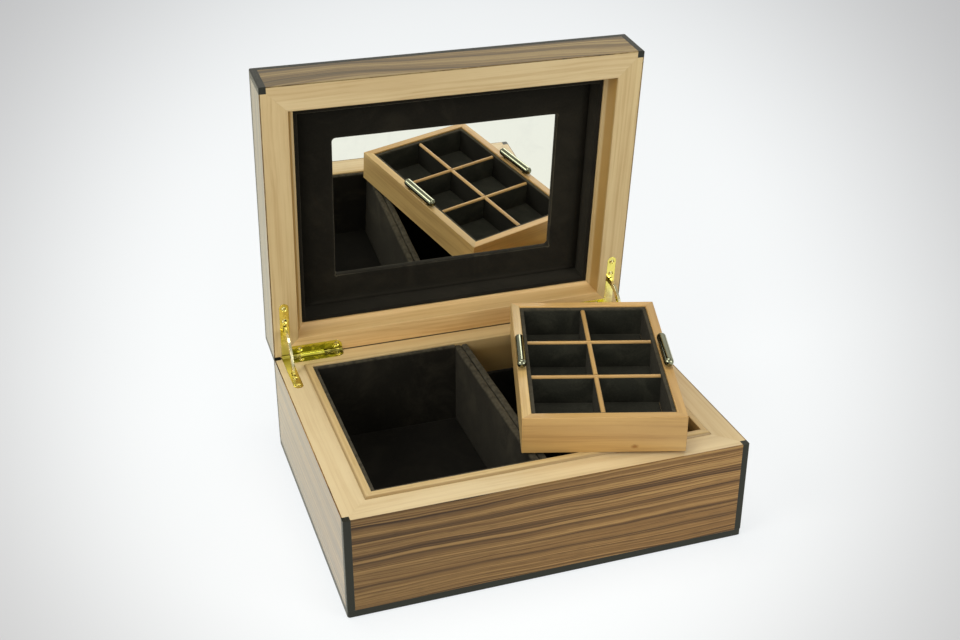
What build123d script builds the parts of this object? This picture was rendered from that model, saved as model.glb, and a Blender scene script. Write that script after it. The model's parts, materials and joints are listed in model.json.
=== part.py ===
from build123d import *
import os
from math import asin, degrees, radians, tan

os.makedirs("parts", exist_ok=True)

# A veneered cufflink display box with a hinged mirror lid and a lift-out tray.
# Frame: X across the front, -Y towards the person opening it, Z up, origin at the
# centre of the underside. The lid is drawn closed and then swung open about its hinge.

# ---- Carcase ----
BOX_W = 280.0           # across the front
BOX_D = 221.0           # front to back
BASE_H = 75.0           # underside to rim
LID_H = 35.0            # lid rim to lid top
WALL = 19.0             # wall with its veneer
VENEER = 0.8
EDGING = 5.0            # square black edging strips
EDGING_ROUND = 1.0      # outer arris of the edging
FOOT_ROUND = 2.0        # plan corners of the foot edging
FELT_T = 0.8
FELT_INSET = 6.0
GROOVE = 5.0            # depth of the floor's groove in the walls
FLOOR_T = 6.0
FLOOR_TOP = 11.0        # top of the floor panel
PAD_T = 2.0             # suede floor pads

# ---- Lip and linings ----
LIP_T = 5.5             # thickness of the boards that line the walls
LIP_RISE = 2.0          # how far the lip stands above the rim
LIP_SHOULDER = 2.8      # width of its rounded outer shoulder
LINING_T = 3.0
LINING_DROP = 1.0       # left lining's top below the lip's top
SEAT_DROP = 27.5        # tray seat below the rim
DIVIDER_BOARD = 5.4     # each of the two boards of the divider
DIVIDER_ROUND = 1.4

# ---- Lid ----
RIM_GAP = 0.2           # between the closed rims
COVE_DEPTH = 11.0       # height of the cove inside the lid's rim
BEAD = 0.9              # bead at the top of the cove
LID_PANEL_T = 4.2
PANEL_REBATE = 12.5     # lid panel's bearing on the rails
SURROUND_OUT = 27.7     # outside of the lid to the foot of the mirror surround
SURROUND_FLAT = 38.0    # ... to the top of its bevel
WINDOW_IN = 54.2        # ... to the mirror window
WINDOW_ROUND = 3.0
SURROUND_PROUD = 3.5    # surround's face in front of the mirror's
SURROUND_FOOT = 1.4     # upright edge at the foot of its bevel
MIRROR_T = 3.0
MIRROR_LAP = 4.0        # glass hidden behind the surround
SURROUND_ROUND = 1.2

# ---- Hinges and stays ----
OPEN_ANGLE = 84.0
STOP_CHAMFER = 3.3      # back edges cut back to meet as the lid's stop
STOP_EASE = 0.15        # degrees left between the two stop faces, each side
BARREL_R = 2.4
BARREL_EASE = 0.3
PIN_R = 1.0
LEAF_T = 2.0
LEAF_W = 7.0
LEAF_IN = 9.2           # outside of the box to the centre of a side leg
LEAF_ROUND = 5.5        # corner at the far end of a back leg
SIDE_LEG = 47.5         # axis to the end of a side leg
BACK_LEG = 52.0         # outside of the box to the end of a back leg
KNUCKLE = 14.0          # each of the base leaf's two knuckles
KNUCKLE_GAP = 0.15
STAY_R = 26.0           # mean radius of the stay about the hinge axis
STAY_W = 4.6
STAY_T = 1.8
STAY_PIN_R = 0.8        # cross pin that stops the stay under a leaf
STAY_PIN_L = 4.2
STAY_EASE = 0.35        # round the stay in its slots and mortises
SCREW_R = 1.0
SCREW_HEAD_R = 2.0
SCREW_HEAD_H = 1.1
SCREW_L = 9.0
SCREW_SINK = 0.1
SIDE_SCREWS = (32.4, 43.0)      # from the axis along a side leg
BACK_SCREWS = (14.0, 42.0)      # from the side of a back leg

# ---- Tray ----
TRAY_H = 26.5
TRAY_WALL = 6.5
TRAY_ROUND = 0.6
TRAY_PLAY = 0.55        # between the tray and its compartment, each side
TRAY_BOTTOM_T = 3.0
TRAY_REBATE = 3.0       # bottom board's bearing under the walls
TRAY_PAD_T = 1.5
TRAY_LINING_DROP = 1.2
CELL_DIVIDER_T = 3.2
CELL_DIVIDER_DROP = 2.0
CELL_EASE = 0.1         # at halved joints and divider ends
ROWS = 3                # rows of cells; the long divider makes two columns
BAR_R = 3.4
BAR_L = 43.0
BAR_LIFT = 0.8          # wall top to the underside of a handle bar
BAR_FOOT_R = 2.2
BAR_STUD_R = 1.5
BAR_STUD_L = 9.0
BAR_FOOT_PITCH = 28.0
TRAY_AT = (67.0, -10.2)
TRAY_TURN = -17.4
TRAY_REST_GAP = 0.05

FIT = 0.05              # glued or screwed parts in their beds

# ---- Worked out from the above ----
AXIS_Y = BOX_D / 2 - STOP_CHAMFER
AXIS_Z = BASE_H + RIM_GAP / 2
HINGE_AXIS = Axis((0, AXIS_Y, AXIS_Z), (1, 0, 0))
LID_Z = BASE_H + RIM_GAP
LIP_TOP = BASE_H + LIP_RISE
INSIDE = WALL + LIP_T
LID_CORE = LID_H - VENEER
PANEL_UNDER = LID_CORE - LID_PANEL_T
MIRROR_FACE = PANEL_UNDER - MIRROR_T        # depths below the lid's rim
SURROUND_FACE = MIRROR_FACE - SURROUND_PROUD
CUP_LEFT = -BOX_W / 2 + INSIDE
CUP_FRONT = BOX_D / 2 - INSIDE
SEAT_Z = BASE_H - SEAT_DROP
LEAF_X = BOX_W / 2 - LEAF_IN
BARREL_X0 = LEAF_X + LEAF_W / 2
BARREL_X1 = BOX_W / 2 - BACK_LEG
STAY_STOP = degrees(asin((LEAF_T + RIM_GAP / 2 + STAY_PIN_R + FIT) / STAY_R))
STAY_END = STAY_STOP + degrees(2 * STAY_PIN_R / STAY_R)
TRAY_W = BOX_W / 2 - INSIDE - DIVIDER_BOARD - 2 * TRAY_PLAY
TRAY_D = 2 * CUP_FRONT - 2 * (TRAY_PLAY + 0.45)
FAR = 2 * BOX_W

parts = {}


# ---- Shared shapes ----
def section(*points):
    """Closed straight-sided section; u runs inwards from the outside, v upwards."""
    return make_face(Polyline(*[(0, u, v) for u, v in points], close=True))


def block(u0, v0, u1, v1):
    return section((u0, v0), (u1, v0), (u1, v1), (u0, v1))


def rail(length, shape):
    """A mitred length of one section, with its outside on the plane y = 0."""
    depth = shape.bounding_box().max.Y + 1
    half = length / 2
    plan = Polyline((-half, 0), (half, 0), (half - depth, depth), (-half + depth, depth),
                    close=True)
    envelope = extrude(make_face(plan), FAR, both=True)
    return extrude(shape, half, both=True) & envelope


def around(width, depth, shape):
    """The four mitred lengths of one section round a rectangle."""
    long, short = rail(width, shape), rail(depth, shape)
    return {
        "front": Pos(0, -depth / 2, 0) * long,
        "back": Pos(0, depth / 2, 0) * Rot(0, 0, 180) * long,
        "left": Pos(-width / 2, 0, 0) * Rot(0, 0, -90) * short,
        "right": Pos(width / 2, 0, 0) * Rot(0, 0, 90) * short,
    }


def ring(width, depth, shape):
    """One section run round a rectangle as a single piece."""
    sides = list(around(width, depth, shape).values())
    return (sides[0] + sides[1:]).clean()


def plate(width, depth, z0, z1, corner=0.0, at=(0, 0)):
    outline = RectangleRounded(width, depth, corner) if corner else Rectangle(width, depth)
    return extrude(Pos(at[0], at[1], z0) * outline, z1 - z0)


def along_x(radius, x0, x1, y=AXIS_Y, z=AXIS_Z):
    return Pos((x0 + x1) / 2, y, z) * Rot(0, 90, 0) * Cylinder(radius, abs(x1 - x0))


def on_both_sides(piece):
    return {"right": piece, "left": mirror(piece, about=Plane.YZ)}


def to_lid(piece):
    """Reflect a piece from the base's rim to the closed lid's rim."""
    return mirror(piece, about=Plane((0, 0, AXIS_Z), z_dir=(0, 0, 1)))


def swung(piece):
    return piece.rotate(HINGE_AXIS, -OPEN_ANGLE)


def group(pieces):
    """Separate solids of one kind, kept in one node."""
    return Compound([solid for piece in pieces for solid in piece.solids()])


# ---- Screws ----
def screw(ease=0.0):
    """Countersunk wood screw pointing down from its head at z = 0; ease makes its hole."""
    head, shank, tip = SCREW_HEAD_R + ease, SCREW_R + ease, -SCREW_L - ease
    outline = [(0, ease), (head, ease), (head, -ease), (shank, -SCREW_HEAD_H - ease),
               (shank, tip + 2), (0, tip)]
    if not ease:
        outline = outline[:1] + outline[2:]
    body = revolve(make_face(Polyline(*[(r, 0, z) for r, z in outline], close=True)), Axis.Z)
    return body if ease else body - Pos(0, 0, -0.3) * Box(3 * SCREW_HEAD_R, 0.6, 0.6)


def screw_points():
    """Screw centres in one base leaf, on the right-hand hinge."""
    side = [(LEAF_X, AXIS_Y - reach) for reach in SIDE_SCREWS]
    back_y = AXIS_Y - BARREL_R - LEAF_W / 2
    back = [(BARREL_X0 - reach, back_y) for reach in BACK_SCREWS]
    return side + back


def screw_set(ease=0.0):
    z = BASE_H - SCREW_SINK
    return [Pos(x, y, z) * screw(ease) for x, y in screw_points()]


# ---- Hinge leaves, pins and stays ----
def leaf_outline(ease=0.0):
    """L-shaped plan of a leaf: a side leg with a round end and a leg along the back."""
    half = LEAF_W / 2 + ease
    end = AXIS_Y - SIDE_LEG + LEAF_W / 2
    side = Pos(LEAF_X, (end + AXIS_Y) / 2) * Rectangle(2 * half, AXIS_Y - end)
    tip = Pos(LEAF_X, end) * Circle(half)
    x0, x1 = BARREL_X1 - ease, BARREL_X0 + ease
    y0 = AXIS_Y - BARREL_R - LEAF_W - ease
    back = Pos((x0 + x1) / 2, (y0 + AXIS_Y) / 2) * Rectangle(x1 - x0, AXIS_Y - y0)
    corner = back.vertices().sort_by(Axis.X)[:2].sort_by(Axis.Y)[0]
    return side + tip + fillet(corner, LEAF_ROUND)


def stay_slot():
    x_half = STAY_T / 2 + STAY_EASE
    reach = STAY_W + 2 * STAY_EASE + 1
    at_y = AXIS_Y - STAY_R
    return Pos(LEAF_X, at_y) * Rot(0, 0, 90) * SlotOverall(reach, 2 * x_half)


def knuckles(inner, ease=0.0):
    """Barrel of the lid leaf (inner) or of the base leaf (outer pair), eased if cut."""
    gap = KNUCKLE_GAP - ease
    a, b = BARREL_X1, BARREL_X0
    r = BARREL_R + ease
    if inner:
        return [along_x(r, a + KNUCKLE + gap, b - KNUCKLE - gap)]
    return [along_x(r, a, a + KNUCKLE + ease), along_x(r, b - KNUCKLE - ease, b)]


def leaf(inner):
    """One leaf in the base's rim; the lid's leaf is the same, reflected."""
    sheet = extrude(Pos(0, 0, BASE_H - LEAF_T) * (leaf_outline() - stay_slot()), LEAF_T)
    sheet = sheet - knuckles(not inner, BARREL_EASE) - screw_set(FIT)
    whole = sheet + knuckles(inner)
    return whole - along_x(PIN_R + FIT, BARREL_X1 - 1, BARREL_X0 + 1)


def leaf_bed():
    """What a leaf, its screws and the barrel need cut from the wood of the base."""
    bed = extrude(Pos(0, 0, BASE_H - LEAF_T - FIT) * leaf_outline(FIT), LEAF_T + 1)
    barrel = along_x(BARREL_R + BARREL_EASE, BARREL_X1 - FIT, BARREL_X0 + FIT)
    return [bed, barrel] + screw_set(FIT)


def arc_band(width, thick, start, stop):
    """A band about the hinge axis; angles are taken down from the rim's plane."""
    flat = Pos(LEAF_X, AXIS_Y - STAY_R, AXIS_Z) * Rectangle(thick, width)
    return revolve(flat.rotate(HINGE_AXIS, start), HINGE_AXIS, revolution_arc=stop - start)


def stay():
    """Quadrant stay with rounded ends and a cross pin near each end."""
    start, stop = -OPEN_ANGLE - STAY_END, STAY_END
    band = arc_band(STAY_W, STAY_T, start, stop)
    tips = [e for e in band.edges().filter_by(Axis.X)]
    band = fillet(tips, STAY_W / 4)
    pin = along_x(STAY_PIN_R, LEAF_X - STAY_PIN_L / 2, LEAF_X + STAY_PIN_L / 2,
                  AXIS_Y - STAY_R)
    pins = [pin.rotate(HINGE_AXIS, a) for a in (-OPEN_ANGLE - STAY_STOP, STAY_STOP)]
    return band + pins


def stay_mortise():
    deepest = OPEN_ANGLE / 2 + STAY_END + 2
    return arc_band(STAY_W + 2 * STAY_EASE, STAY_PIN_L + 2 * STAY_EASE, -2, deepest)


def stop_cut():
    """Wedge that cuts the back edge of the base to its stop face."""
    slope = radians(OPEN_ANGLE / 2 + STOP_EASE)
    run = 3 * STOP_CHAMFER
    outline = Polyline((0, AXIS_Y, AXIS_Z),
                       (0, AXIS_Y + run, AXIS_Z - run * tan(slope)),
                       (0, AXIS_Y + run, AXIS_Z + 1), (0, AXIS_Y, AXIS_Z + 1), close=True)
    return extrude(make_face(outline), BOX_W, both=True)


HINGE_CUTS = [stop_cut()]
for bed in leaf_bed() + [stay_mortise()]:
    HINGE_CUTS += list(on_both_sides(bed).values())
LID_CUTS = [to_lid(cut) for cut in HINGE_CUTS]


# ---- Base carcase ----
def corner_posts(z0, z1, rounded):
    """The four edging strips up the corners, or the rebates they sit in."""
    half = EDGING / 2
    posts = []
    for x in (-1, 1):
        for y in (-1, 1):
            at = (x * (BOX_W / 2 - half), y * (BOX_D / 2 - half))
            post = plate(EDGING, EDGING, z0, z1, at=at)
            if rounded:
                outer = post.edges().filter_by(Axis.Z).sort_by(
                    lambda e: -(x * e.center().X + y * e.center().Y))[0]
                post = fillet(outer, EDGING_ROUND)
            posts.append(post)
    return posts


def base_carcase():
    foot = FELT_T + EDGING
    rebates = corner_posts(foot, BASE_H, False)
    floor = plate(BOX_W - 2 * (WALL - GROOVE), BOX_D - 2 * (WALL - GROOVE),
                  FLOOR_TOP - FLOOR_T, FLOOR_TOP)
    wall = section((VENEER, foot), (EDGING, foot), (EDGING, FELT_T), (WALL, FELT_T),
                   (WALL, BASE_H), (VENEER, BASE_H))
    skin = block(0, foot, VENEER, BASE_H)
    for side, piece in around(BOX_W, BOX_D, wall).items():
        parts["base_wall_" + side] = piece - rebates - floor - HINGE_CUTS
    for side, piece in around(BOX_W, BOX_D, skin).items():
        parts["base_veneer_" + side] = piece - rebates - HINGE_CUTS
    posts = [p - HINGE_CUTS[0] for p in corner_posts(foot, BASE_H, True)]
    parts["base_corner_edging"] = group(posts)
    plan = plate(BOX_W, BOX_D, 0, foot + 1, FOOT_ROUND)
    strips = around(BOX_W, BOX_D, block(0, FELT_T, EDGING, foot))
    parts["base_foot_edging"] = group([s & plan for s in strips.values()])
    parts["base_floor_panel"] = floor
    parts["base_felt"] = plate(BOX_W - 2 * FELT_INSET, BOX_D - 2 * FELT_INSET, 0, FELT_T, 3)


def lip_section():
    """Board that lines a wall, its top a raised lip with a rounded outer shoulder."""
    shoulder = ThreePointArc((0, WALL, BASE_H),
                             (0, WALL + 0.3 * LIP_SHOULDER, BASE_H + 0.68 * LIP_RISE),
                             (0, WALL + LIP_SHOULDER, LIP_TOP))
    rest = Polyline((0, WALL + LIP_SHOULDER, LIP_TOP), (0, INSIDE - 0.4, LIP_TOP),
                    (0, INSIDE, LIP_TOP - 0.4), (0, INSIDE, FLOOR_TOP), (0, WALL, FLOOR_TOP),
                    (0, WALL, BASE_H))
    return make_face([shoulder, rest])


def compartments():
    for side, piece in around(BOX_W, BOX_D, lip_section()).items():
        parts["base_lip_" + side] = piece
    width, depth = -CUP_LEFT, 2 * CUP_FRONT

    # Two suede-covered boards stand back to back; their rounded tops leave a groove.
    edge = [(0, FLOOR_TOP), (DIVIDER_BOARD, FLOOR_TOP), (DIVIDER_BOARD, BASE_H), (0, BASE_H)]
    face = make_face(Polyline(*[(x, 0, z) for x, z in edge], close=True))
    face = fillet(face.vertices().group_by(Axis.Z)[-1], DIVIDER_ROUND)
    board = extrude(face, depth / 2, both=True)
    parts["divider_board_right"] = board
    parts["divider_board_left"] = mirror(board, about=Plane.YZ)

    # The left lining wraps three walls; the right one goes all round and seats the tray.
    middle = (DIVIDER_BOARD + width) / 2
    span = width - DIVIDER_BOARD
    tops = {"left": LIP_TOP - LINING_DROP, "right": SEAT_Z}
    for side, x in (("left", -middle), ("right", middle)):
        band = Pos(x, 0, 0) * ring(span, depth, block(0, FLOOR_TOP, LINING_T, tops[side]))
        pad_x, pad_w = x, span - 2 * LINING_T
        if side == "left":
            band -= plate(LINING_T, depth - 2 * LINING_T, 0, FAR,
                          at=(-DIVIDER_BOARD - LINING_T / 2, 0))
            pad_x, pad_w = x + LINING_T / 2, span - LINING_T
        parts[side + "_lining"] = band
        parts[side + "_floor_pad"] = plate(pad_w, depth - 2 * LINING_T, FLOOR_TOP,
                                           FLOOR_TOP + PAD_T, at=(pad_x, 0))


# ---- Lid ----
def lid_section():
    """Lid rail: flat rim, concave cove and bead inside it, rebates for edging and panel."""
    cove_end = INSIDE - BEAD
    cove = ThreePointArc((0, WALL, 0), (0, WALL + 0.33 * (cove_end - WALL), 0.56 * COVE_DEPTH),
                         (0, cove_end, COVE_DEPTH))
    bead = ThreePointArc((0, cove_end, COVE_DEPTH),
                         (0, INSIDE - 0.25 * BEAD, COVE_DEPTH + 0.3 * BEAD),
                         (0, INSIDE, COVE_DEPTH + BEAD))
    foot = LID_H - EDGING
    rest = Polyline((0, INSIDE, COVE_DEPTH + BEAD), (0, INSIDE, PANEL_UNDER),
                    (0, INSIDE - PANEL_REBATE, PANEL_UNDER), (0, INSIDE - PANEL_REBATE, LID_CORE),
                    (0, EDGING, LID_CORE), (0, EDGING, foot), (0, VENEER, foot),
                    (0, VENEER, 0), (0, WALL, 0))
    return make_face([cove, bead, rest])


def top_edging():
    """Mitred strips round the lid's top, with the arrises rounded."""
    foot = LID_H - EDGING
    body = plate(BOX_W, BOX_D, foot, LID_H, EDGING_ROUND)
    body = fillet(body.edges().group_by(Axis.Z)[-1], 0.9 * EDGING_ROUND)
    strips = around(BOX_W, BOX_D, block(0, foot, EDGING, LID_H))
    return [body & strip for strip in strips.values()]


def lid_parts():
    """The lid's pieces in the closed position, seated on z = 0; a list is one node."""
    lid = {}
    foot = LID_H - EDGING
    rebates = corner_posts(0, foot, False)
    for side, piece in around(BOX_W, BOX_D, lid_section()).items():
        lid["lid_rail_" + side] = piece - rebates
    for side, piece in around(BOX_W, BOX_D, block(0, 0, VENEER, foot)).items():
        lid["lid_veneer_" + side] = piece - rebates
    lid["lid_corner_edging"] = corner_posts(0, foot, True)
    lid["lid_top_edging"] = top_edging()
    inset = INSIDE - PANEL_REBATE + FIT
    lid["lid_panel"] = plate(BOX_W - 2 * inset, BOX_D - 2 * inset, PANEL_UNDER, LID_CORE)
    lid["lid_top_veneer"] = plate(BOX_W - 2 * EDGING, BOX_D - 2 * EDGING, LID_CORE, LID_H)
    lining_foot = COVE_DEPTH + BEAD + 0.4
    lid["lid_lining"] = ring(BOX_W, BOX_D, block(INSIDE, lining_foot, INSIDE + LINING_T,
                                                 PANEL_UNDER))
    lid["mirror_surround"] = mirror_surround()
    inset = WINDOW_IN - MIRROR_LAP + FIT
    lid["mirror_glass"] = plate(BOX_W - 2 * inset, BOX_D - 2 * inset, MIRROR_FACE,
                                PANEL_UNDER, WINDOW_ROUND)
    return lid


def mirror_surround():
    """Suede-covered frame: bevelled outside, flat face, round-cornered window, rebate."""
    lap = WINDOW_IN - MIRROR_LAP
    deep = WINDOW_IN + WINDOW_ROUND
    face = section((SURROUND_OUT, PANEL_UNDER), (SURROUND_OUT, PANEL_UNDER - SURROUND_FOOT),
                   (SURROUND_FLAT, SURROUND_FACE), (deep, SURROUND_FACE), (deep, MIRROR_FACE),
                   (lap, MIRROR_FACE), (lap, PANEL_UNDER))
    window = plate(BOX_W - 2 * WINDOW_IN, BOX_D - 2 * WINDOW_IN, 0, LID_H, WINDOW_ROUND)
    frame = ring(BOX_W, BOX_D, face) - window
    top = frame.faces().sort_by(Axis.Z)[0]
    return fillet(top.inner_wires()[0].edges(), SURROUND_ROUND)


def lid_assembly():
    for name, made in lid_parts().items():
        pieces = made if isinstance(made, list) else [made]
        parts[name] = group([swung(Pos(0, 0, LID_Z) * piece - LID_CUTS) for piece in pieces])


def hinges():
    base, lid = on_both_sides(leaf(False)), on_both_sides(to_lid(leaf(True)))
    stays = on_both_sides(stay())
    for side in ("left", "right"):
        parts["hinge_base_leaf_" + side] = base[side]
        parts["hinge_lid_leaf_" + side] = swung(lid[side])
        parts["stay_" + side] = stays[side]
    pin = along_x(PIN_R, BARREL_X1, BARREL_X0)
    parts["hinge_pins"] = group(on_both_sides(pin).values())
    screws = [s for one in screw_set() for s in on_both_sides(one).values()]
    parts["hinge_base_screws"] = group(screws)
    parts["hinge_lid_screws"] = group([swung(to_lid(s)) for s in screws])


# ---- Tray ----
def handle_bar():
    """Round-ended bar lying along Y over a side wall, on two feet with hidden studs."""
    straight = BAR_L / 2 - BAR_R
    bar = Rot(90, 0, 0) * Cylinder(BAR_R, 2 * straight)
    bar += [Pos(0, y, 0) * Sphere(BAR_R) for y in (-straight, straight)]
    drop = BAR_R + BAR_LIFT
    for y in (-BAR_FOOT_PITCH / 2, BAR_FOOT_PITCH / 2):
        bar += Pos(0, y, -drop / 2) * Cylinder(BAR_FOOT_R, drop)
        bar += Pos(0, y, -drop - BAR_STUD_L / 2) * Cylinder(BAR_STUD_R, BAR_STUD_L)
    return Pos(0, 0, TRAY_H + drop) * bar


def cell_divider(length, z0, z1):
    """Wooden strip along Y with a rounded top."""
    half = CELL_DIVIDER_T / 2
    face = make_face(Polyline((-half, 0, z0), (half, 0, z0), (half, 0, z1), (-half, 0, z1),
                              close=True))
    face = fillet(face.vertices().group_by(Axis.Z)[-1], 0.9 * half)
    return extrude(face, length / 2, both=True)


def tray_parts():
    """The tray's pieces with its underside centred on the origin."""
    tray = {}
    wall_x = TRAY_W / 2 - TRAY_WALL / 2
    studs = [Pos(x, y, TRAY_H - BAR_STUD_L / 2) * Cylinder(BAR_STUD_R + FIT, BAR_STUD_L + 2 * FIT)
             for x in (-wall_x, wall_x) for y in (-BAR_FOOT_PITCH / 2, BAR_FOOT_PITCH / 2)]
    inner = TRAY_WALL - TRAY_REBATE
    wall = section((0, 0), (inner, 0), (inner, TRAY_BOTTOM_T), (TRAY_WALL, TRAY_BOTTOM_T),
                   (TRAY_WALL, TRAY_H), (0, TRAY_H))
    wall = fillet(wall.vertices().group_by(Axis.Z)[-1], TRAY_ROUND)
    for side, piece in around(TRAY_W, TRAY_D, wall).items():
        tray["tray_wall_" + side] = piece - studs
    inset = inner + FIT
    tray["tray_bottom"] = plate(TRAY_W - 2 * inset, TRAY_D - 2 * inset, 0, TRAY_BOTTOM_T)
    lining = TRAY_WALL + LINING_T
    tray["tray_lining"] = ring(TRAY_W, TRAY_D, block(TRAY_WALL, TRAY_BOTTOM_T, lining,
                                                     TRAY_H - TRAY_LINING_DROP))
    width, depth = TRAY_W - 2 * lining, TRAY_D - 2 * lining
    floor = TRAY_BOTTOM_T + TRAY_PAD_T
    tray["tray_floor_pad"] = plate(width, depth, TRAY_BOTTOM_T, floor)

    # One long divider and the cross dividers are halved over each other.
    top = TRAY_H - CELL_DIVIDER_DROP
    half_way = (floor + top) / 2
    notch = CELL_DIVIDER_T + 2 * CELL_EASE
    rows = [depth * (i / ROWS - 0.5) for i in range(1, ROWS)]
    long = cell_divider(depth - 2 * CELL_EASE, floor, top)
    cross = Rot(0, 0, 90) * cell_divider(width - 2 * CELL_EASE, floor, top)
    for y in rows:
        long -= plate(notch, notch, half_way - CELL_EASE, top + 1, at=(0, y))
    cross -= plate(notch, notch, 0, half_way + CELL_EASE)
    tray["tray_divider_long"] = long
    for name, y in zip(("front", "back"), rows):
        tray["tray_divider_cross_" + name] = Pos(0, y, 0) * cross
    bar = handle_bar()
    tray["tray_handle_left"] = Pos(-wall_x, 0, 0) * bar
    tray["tray_handle_right"] = Pos(wall_x, 0, 0) * bar
    return tray


def tray_assembly():
    """The tray lies askew across the lip tops, lifted out of its compartment."""
    place = Pos(TRAY_AT[0], TRAY_AT[1], LIP_TOP + TRAY_REST_GAP) * Rot(0, 0, TRAY_TURN)
    for name, piece in tray_parts().items():
        parts[name] = place * piece


base_carcase()
compartments()
lid_assembly()
hinges()
tray_assembly()

for name, piece in parts.items():
    export_step(piece, "parts/" + name + ".step")
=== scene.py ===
import json
import math

import bmesh
import bpy
from bpy.props import FloatProperty, FloatVectorProperty, IntProperty, PointerProperty
from mathutils import Euler, Matrix, Vector, noise


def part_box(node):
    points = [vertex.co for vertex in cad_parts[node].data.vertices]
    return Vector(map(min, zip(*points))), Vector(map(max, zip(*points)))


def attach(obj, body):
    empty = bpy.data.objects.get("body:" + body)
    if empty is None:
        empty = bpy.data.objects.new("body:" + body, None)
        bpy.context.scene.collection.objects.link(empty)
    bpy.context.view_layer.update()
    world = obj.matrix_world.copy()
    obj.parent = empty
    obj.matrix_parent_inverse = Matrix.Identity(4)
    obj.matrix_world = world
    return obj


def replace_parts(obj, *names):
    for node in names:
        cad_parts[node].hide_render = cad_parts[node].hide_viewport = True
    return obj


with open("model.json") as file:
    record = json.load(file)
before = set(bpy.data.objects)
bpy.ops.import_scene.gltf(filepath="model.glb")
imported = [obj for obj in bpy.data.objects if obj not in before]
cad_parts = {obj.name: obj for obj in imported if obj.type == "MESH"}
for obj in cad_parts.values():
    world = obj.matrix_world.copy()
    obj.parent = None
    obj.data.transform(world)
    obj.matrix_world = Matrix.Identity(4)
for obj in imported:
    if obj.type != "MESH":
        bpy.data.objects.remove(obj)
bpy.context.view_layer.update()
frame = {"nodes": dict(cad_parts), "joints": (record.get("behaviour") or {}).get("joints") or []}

bl_info = {
    "name": "Cufflink Display Box",
    "version": (1, 0, 0),
    "blender": (4, 5, 0),
    "location": "3D View > Sidebar > Display Box",
    "description": "Dresses a veneered display box with a mirror lid and a lift-out tray",
    "category": "Object",
}

MM = 0.001
SIDES = ("front", "back", "left", "right")
HINGE = next(j for j in frame["joints"] if j["name"] == "lid_hinge")
HINGE_AT = Vector(HINGE["pos_m"])
LID_OPEN = math.radians(HINGE["range_deg"][1])
LID_RIM = HINGE_AT.z + 0.1 * MM  # height of the closed lid's rim
SIDE_LEG = (125.5 * MM, 128.0 * MM)  # to each side, where a hinge leaf's side leg begins
NOISE_SEED = 1
# The interface class of each type of socket.
KINDS = {"VALUE": "NodeSocketFloat", "VECTOR": "NodeSocketVector", "RGBA": "NodeSocketColor"}


# ---- Settings ----
def amount(name, text, value, **more):
    return FloatProperty(name=name, description=text, default=value, **more)


def length(name, text, value):
    return amount(name, text, value, min=0.0, subtype="DISTANCE", unit="LENGTH")


def triple(name, text, value, **more):
    return FloatVectorProperty(name=name, description=text, default=value, size=3, **more)


def spot(name, text, value):
    return triple(name, text, value, subtype="TRANSLATION", unit="LENGTH")


def colour(name, text, value):
    return triple(name, text, value, min=0.0, max=1.0, subtype="COLOR")


class DISPLAYBOX_PG_sizes(bpy.types.PropertyGroup):
    lining: length("Lining", "Thickness of the suede lining", 3.0 * MM)
    lining_round: length("Lining edge", "Rounding of the lining's top edge", 1.3 * MM)
    divider: length("Divider board", "Thickness of each board of the divider", 5.4 * MM)
    floor_pad: length("Floor pad", "Thickness of the compartments' floor pads", 2.0 * MM)
    crown: length("Pad crown", "How far a pad rises in its middle", 0.35 * MM)
    ripple: length("Ripple", "Unevenness of the hand-laid suede", 0.16 * MM)
    window_round: length("Window corner", "Corner radius of the mirror window", 3.0 * MM)
    facing: length("Facing", "Thickness of the suede on the tray's dividers", 0.35 * MM)
    tray_place: spot("Tray place", "Centre of its underside", (0.067, -0.0102, 0.07705))
    tray_turn: amount("Tray turn", "How far the tray lies askew", math.radians(-17.4),
                      subtype="ANGLE", unit="ROTATION")
    countersink: length("Countersink", "Radius of a leaf's countersink at its face", 2.06 * MM)
    screw_head: length("Screw head", "Radius of a hinge screw's head", 1.74 * MM)
    screw_dome: length("Screw dome", "Rise of a screw's head, sunk by as much", 0.34 * MM)
    screw_shank: length("Screw shank", "Radius of a hinge screw's shank", 1.0 * MM)
    screw_length: length("Screw length", "Whole length of a hinge screw", 9.0 * MM)
    slot_width: length("Slot width", "Width of the screwdriver slot", 0.55 * MM)
    screw_seed: IntProperty(name="Screw seed", description="Turns the slots differently",
                            default=4, min=0)
    cell_seed: IntProperty(name="Cell seed", description="Turns the pads' nap", default=3)


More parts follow.
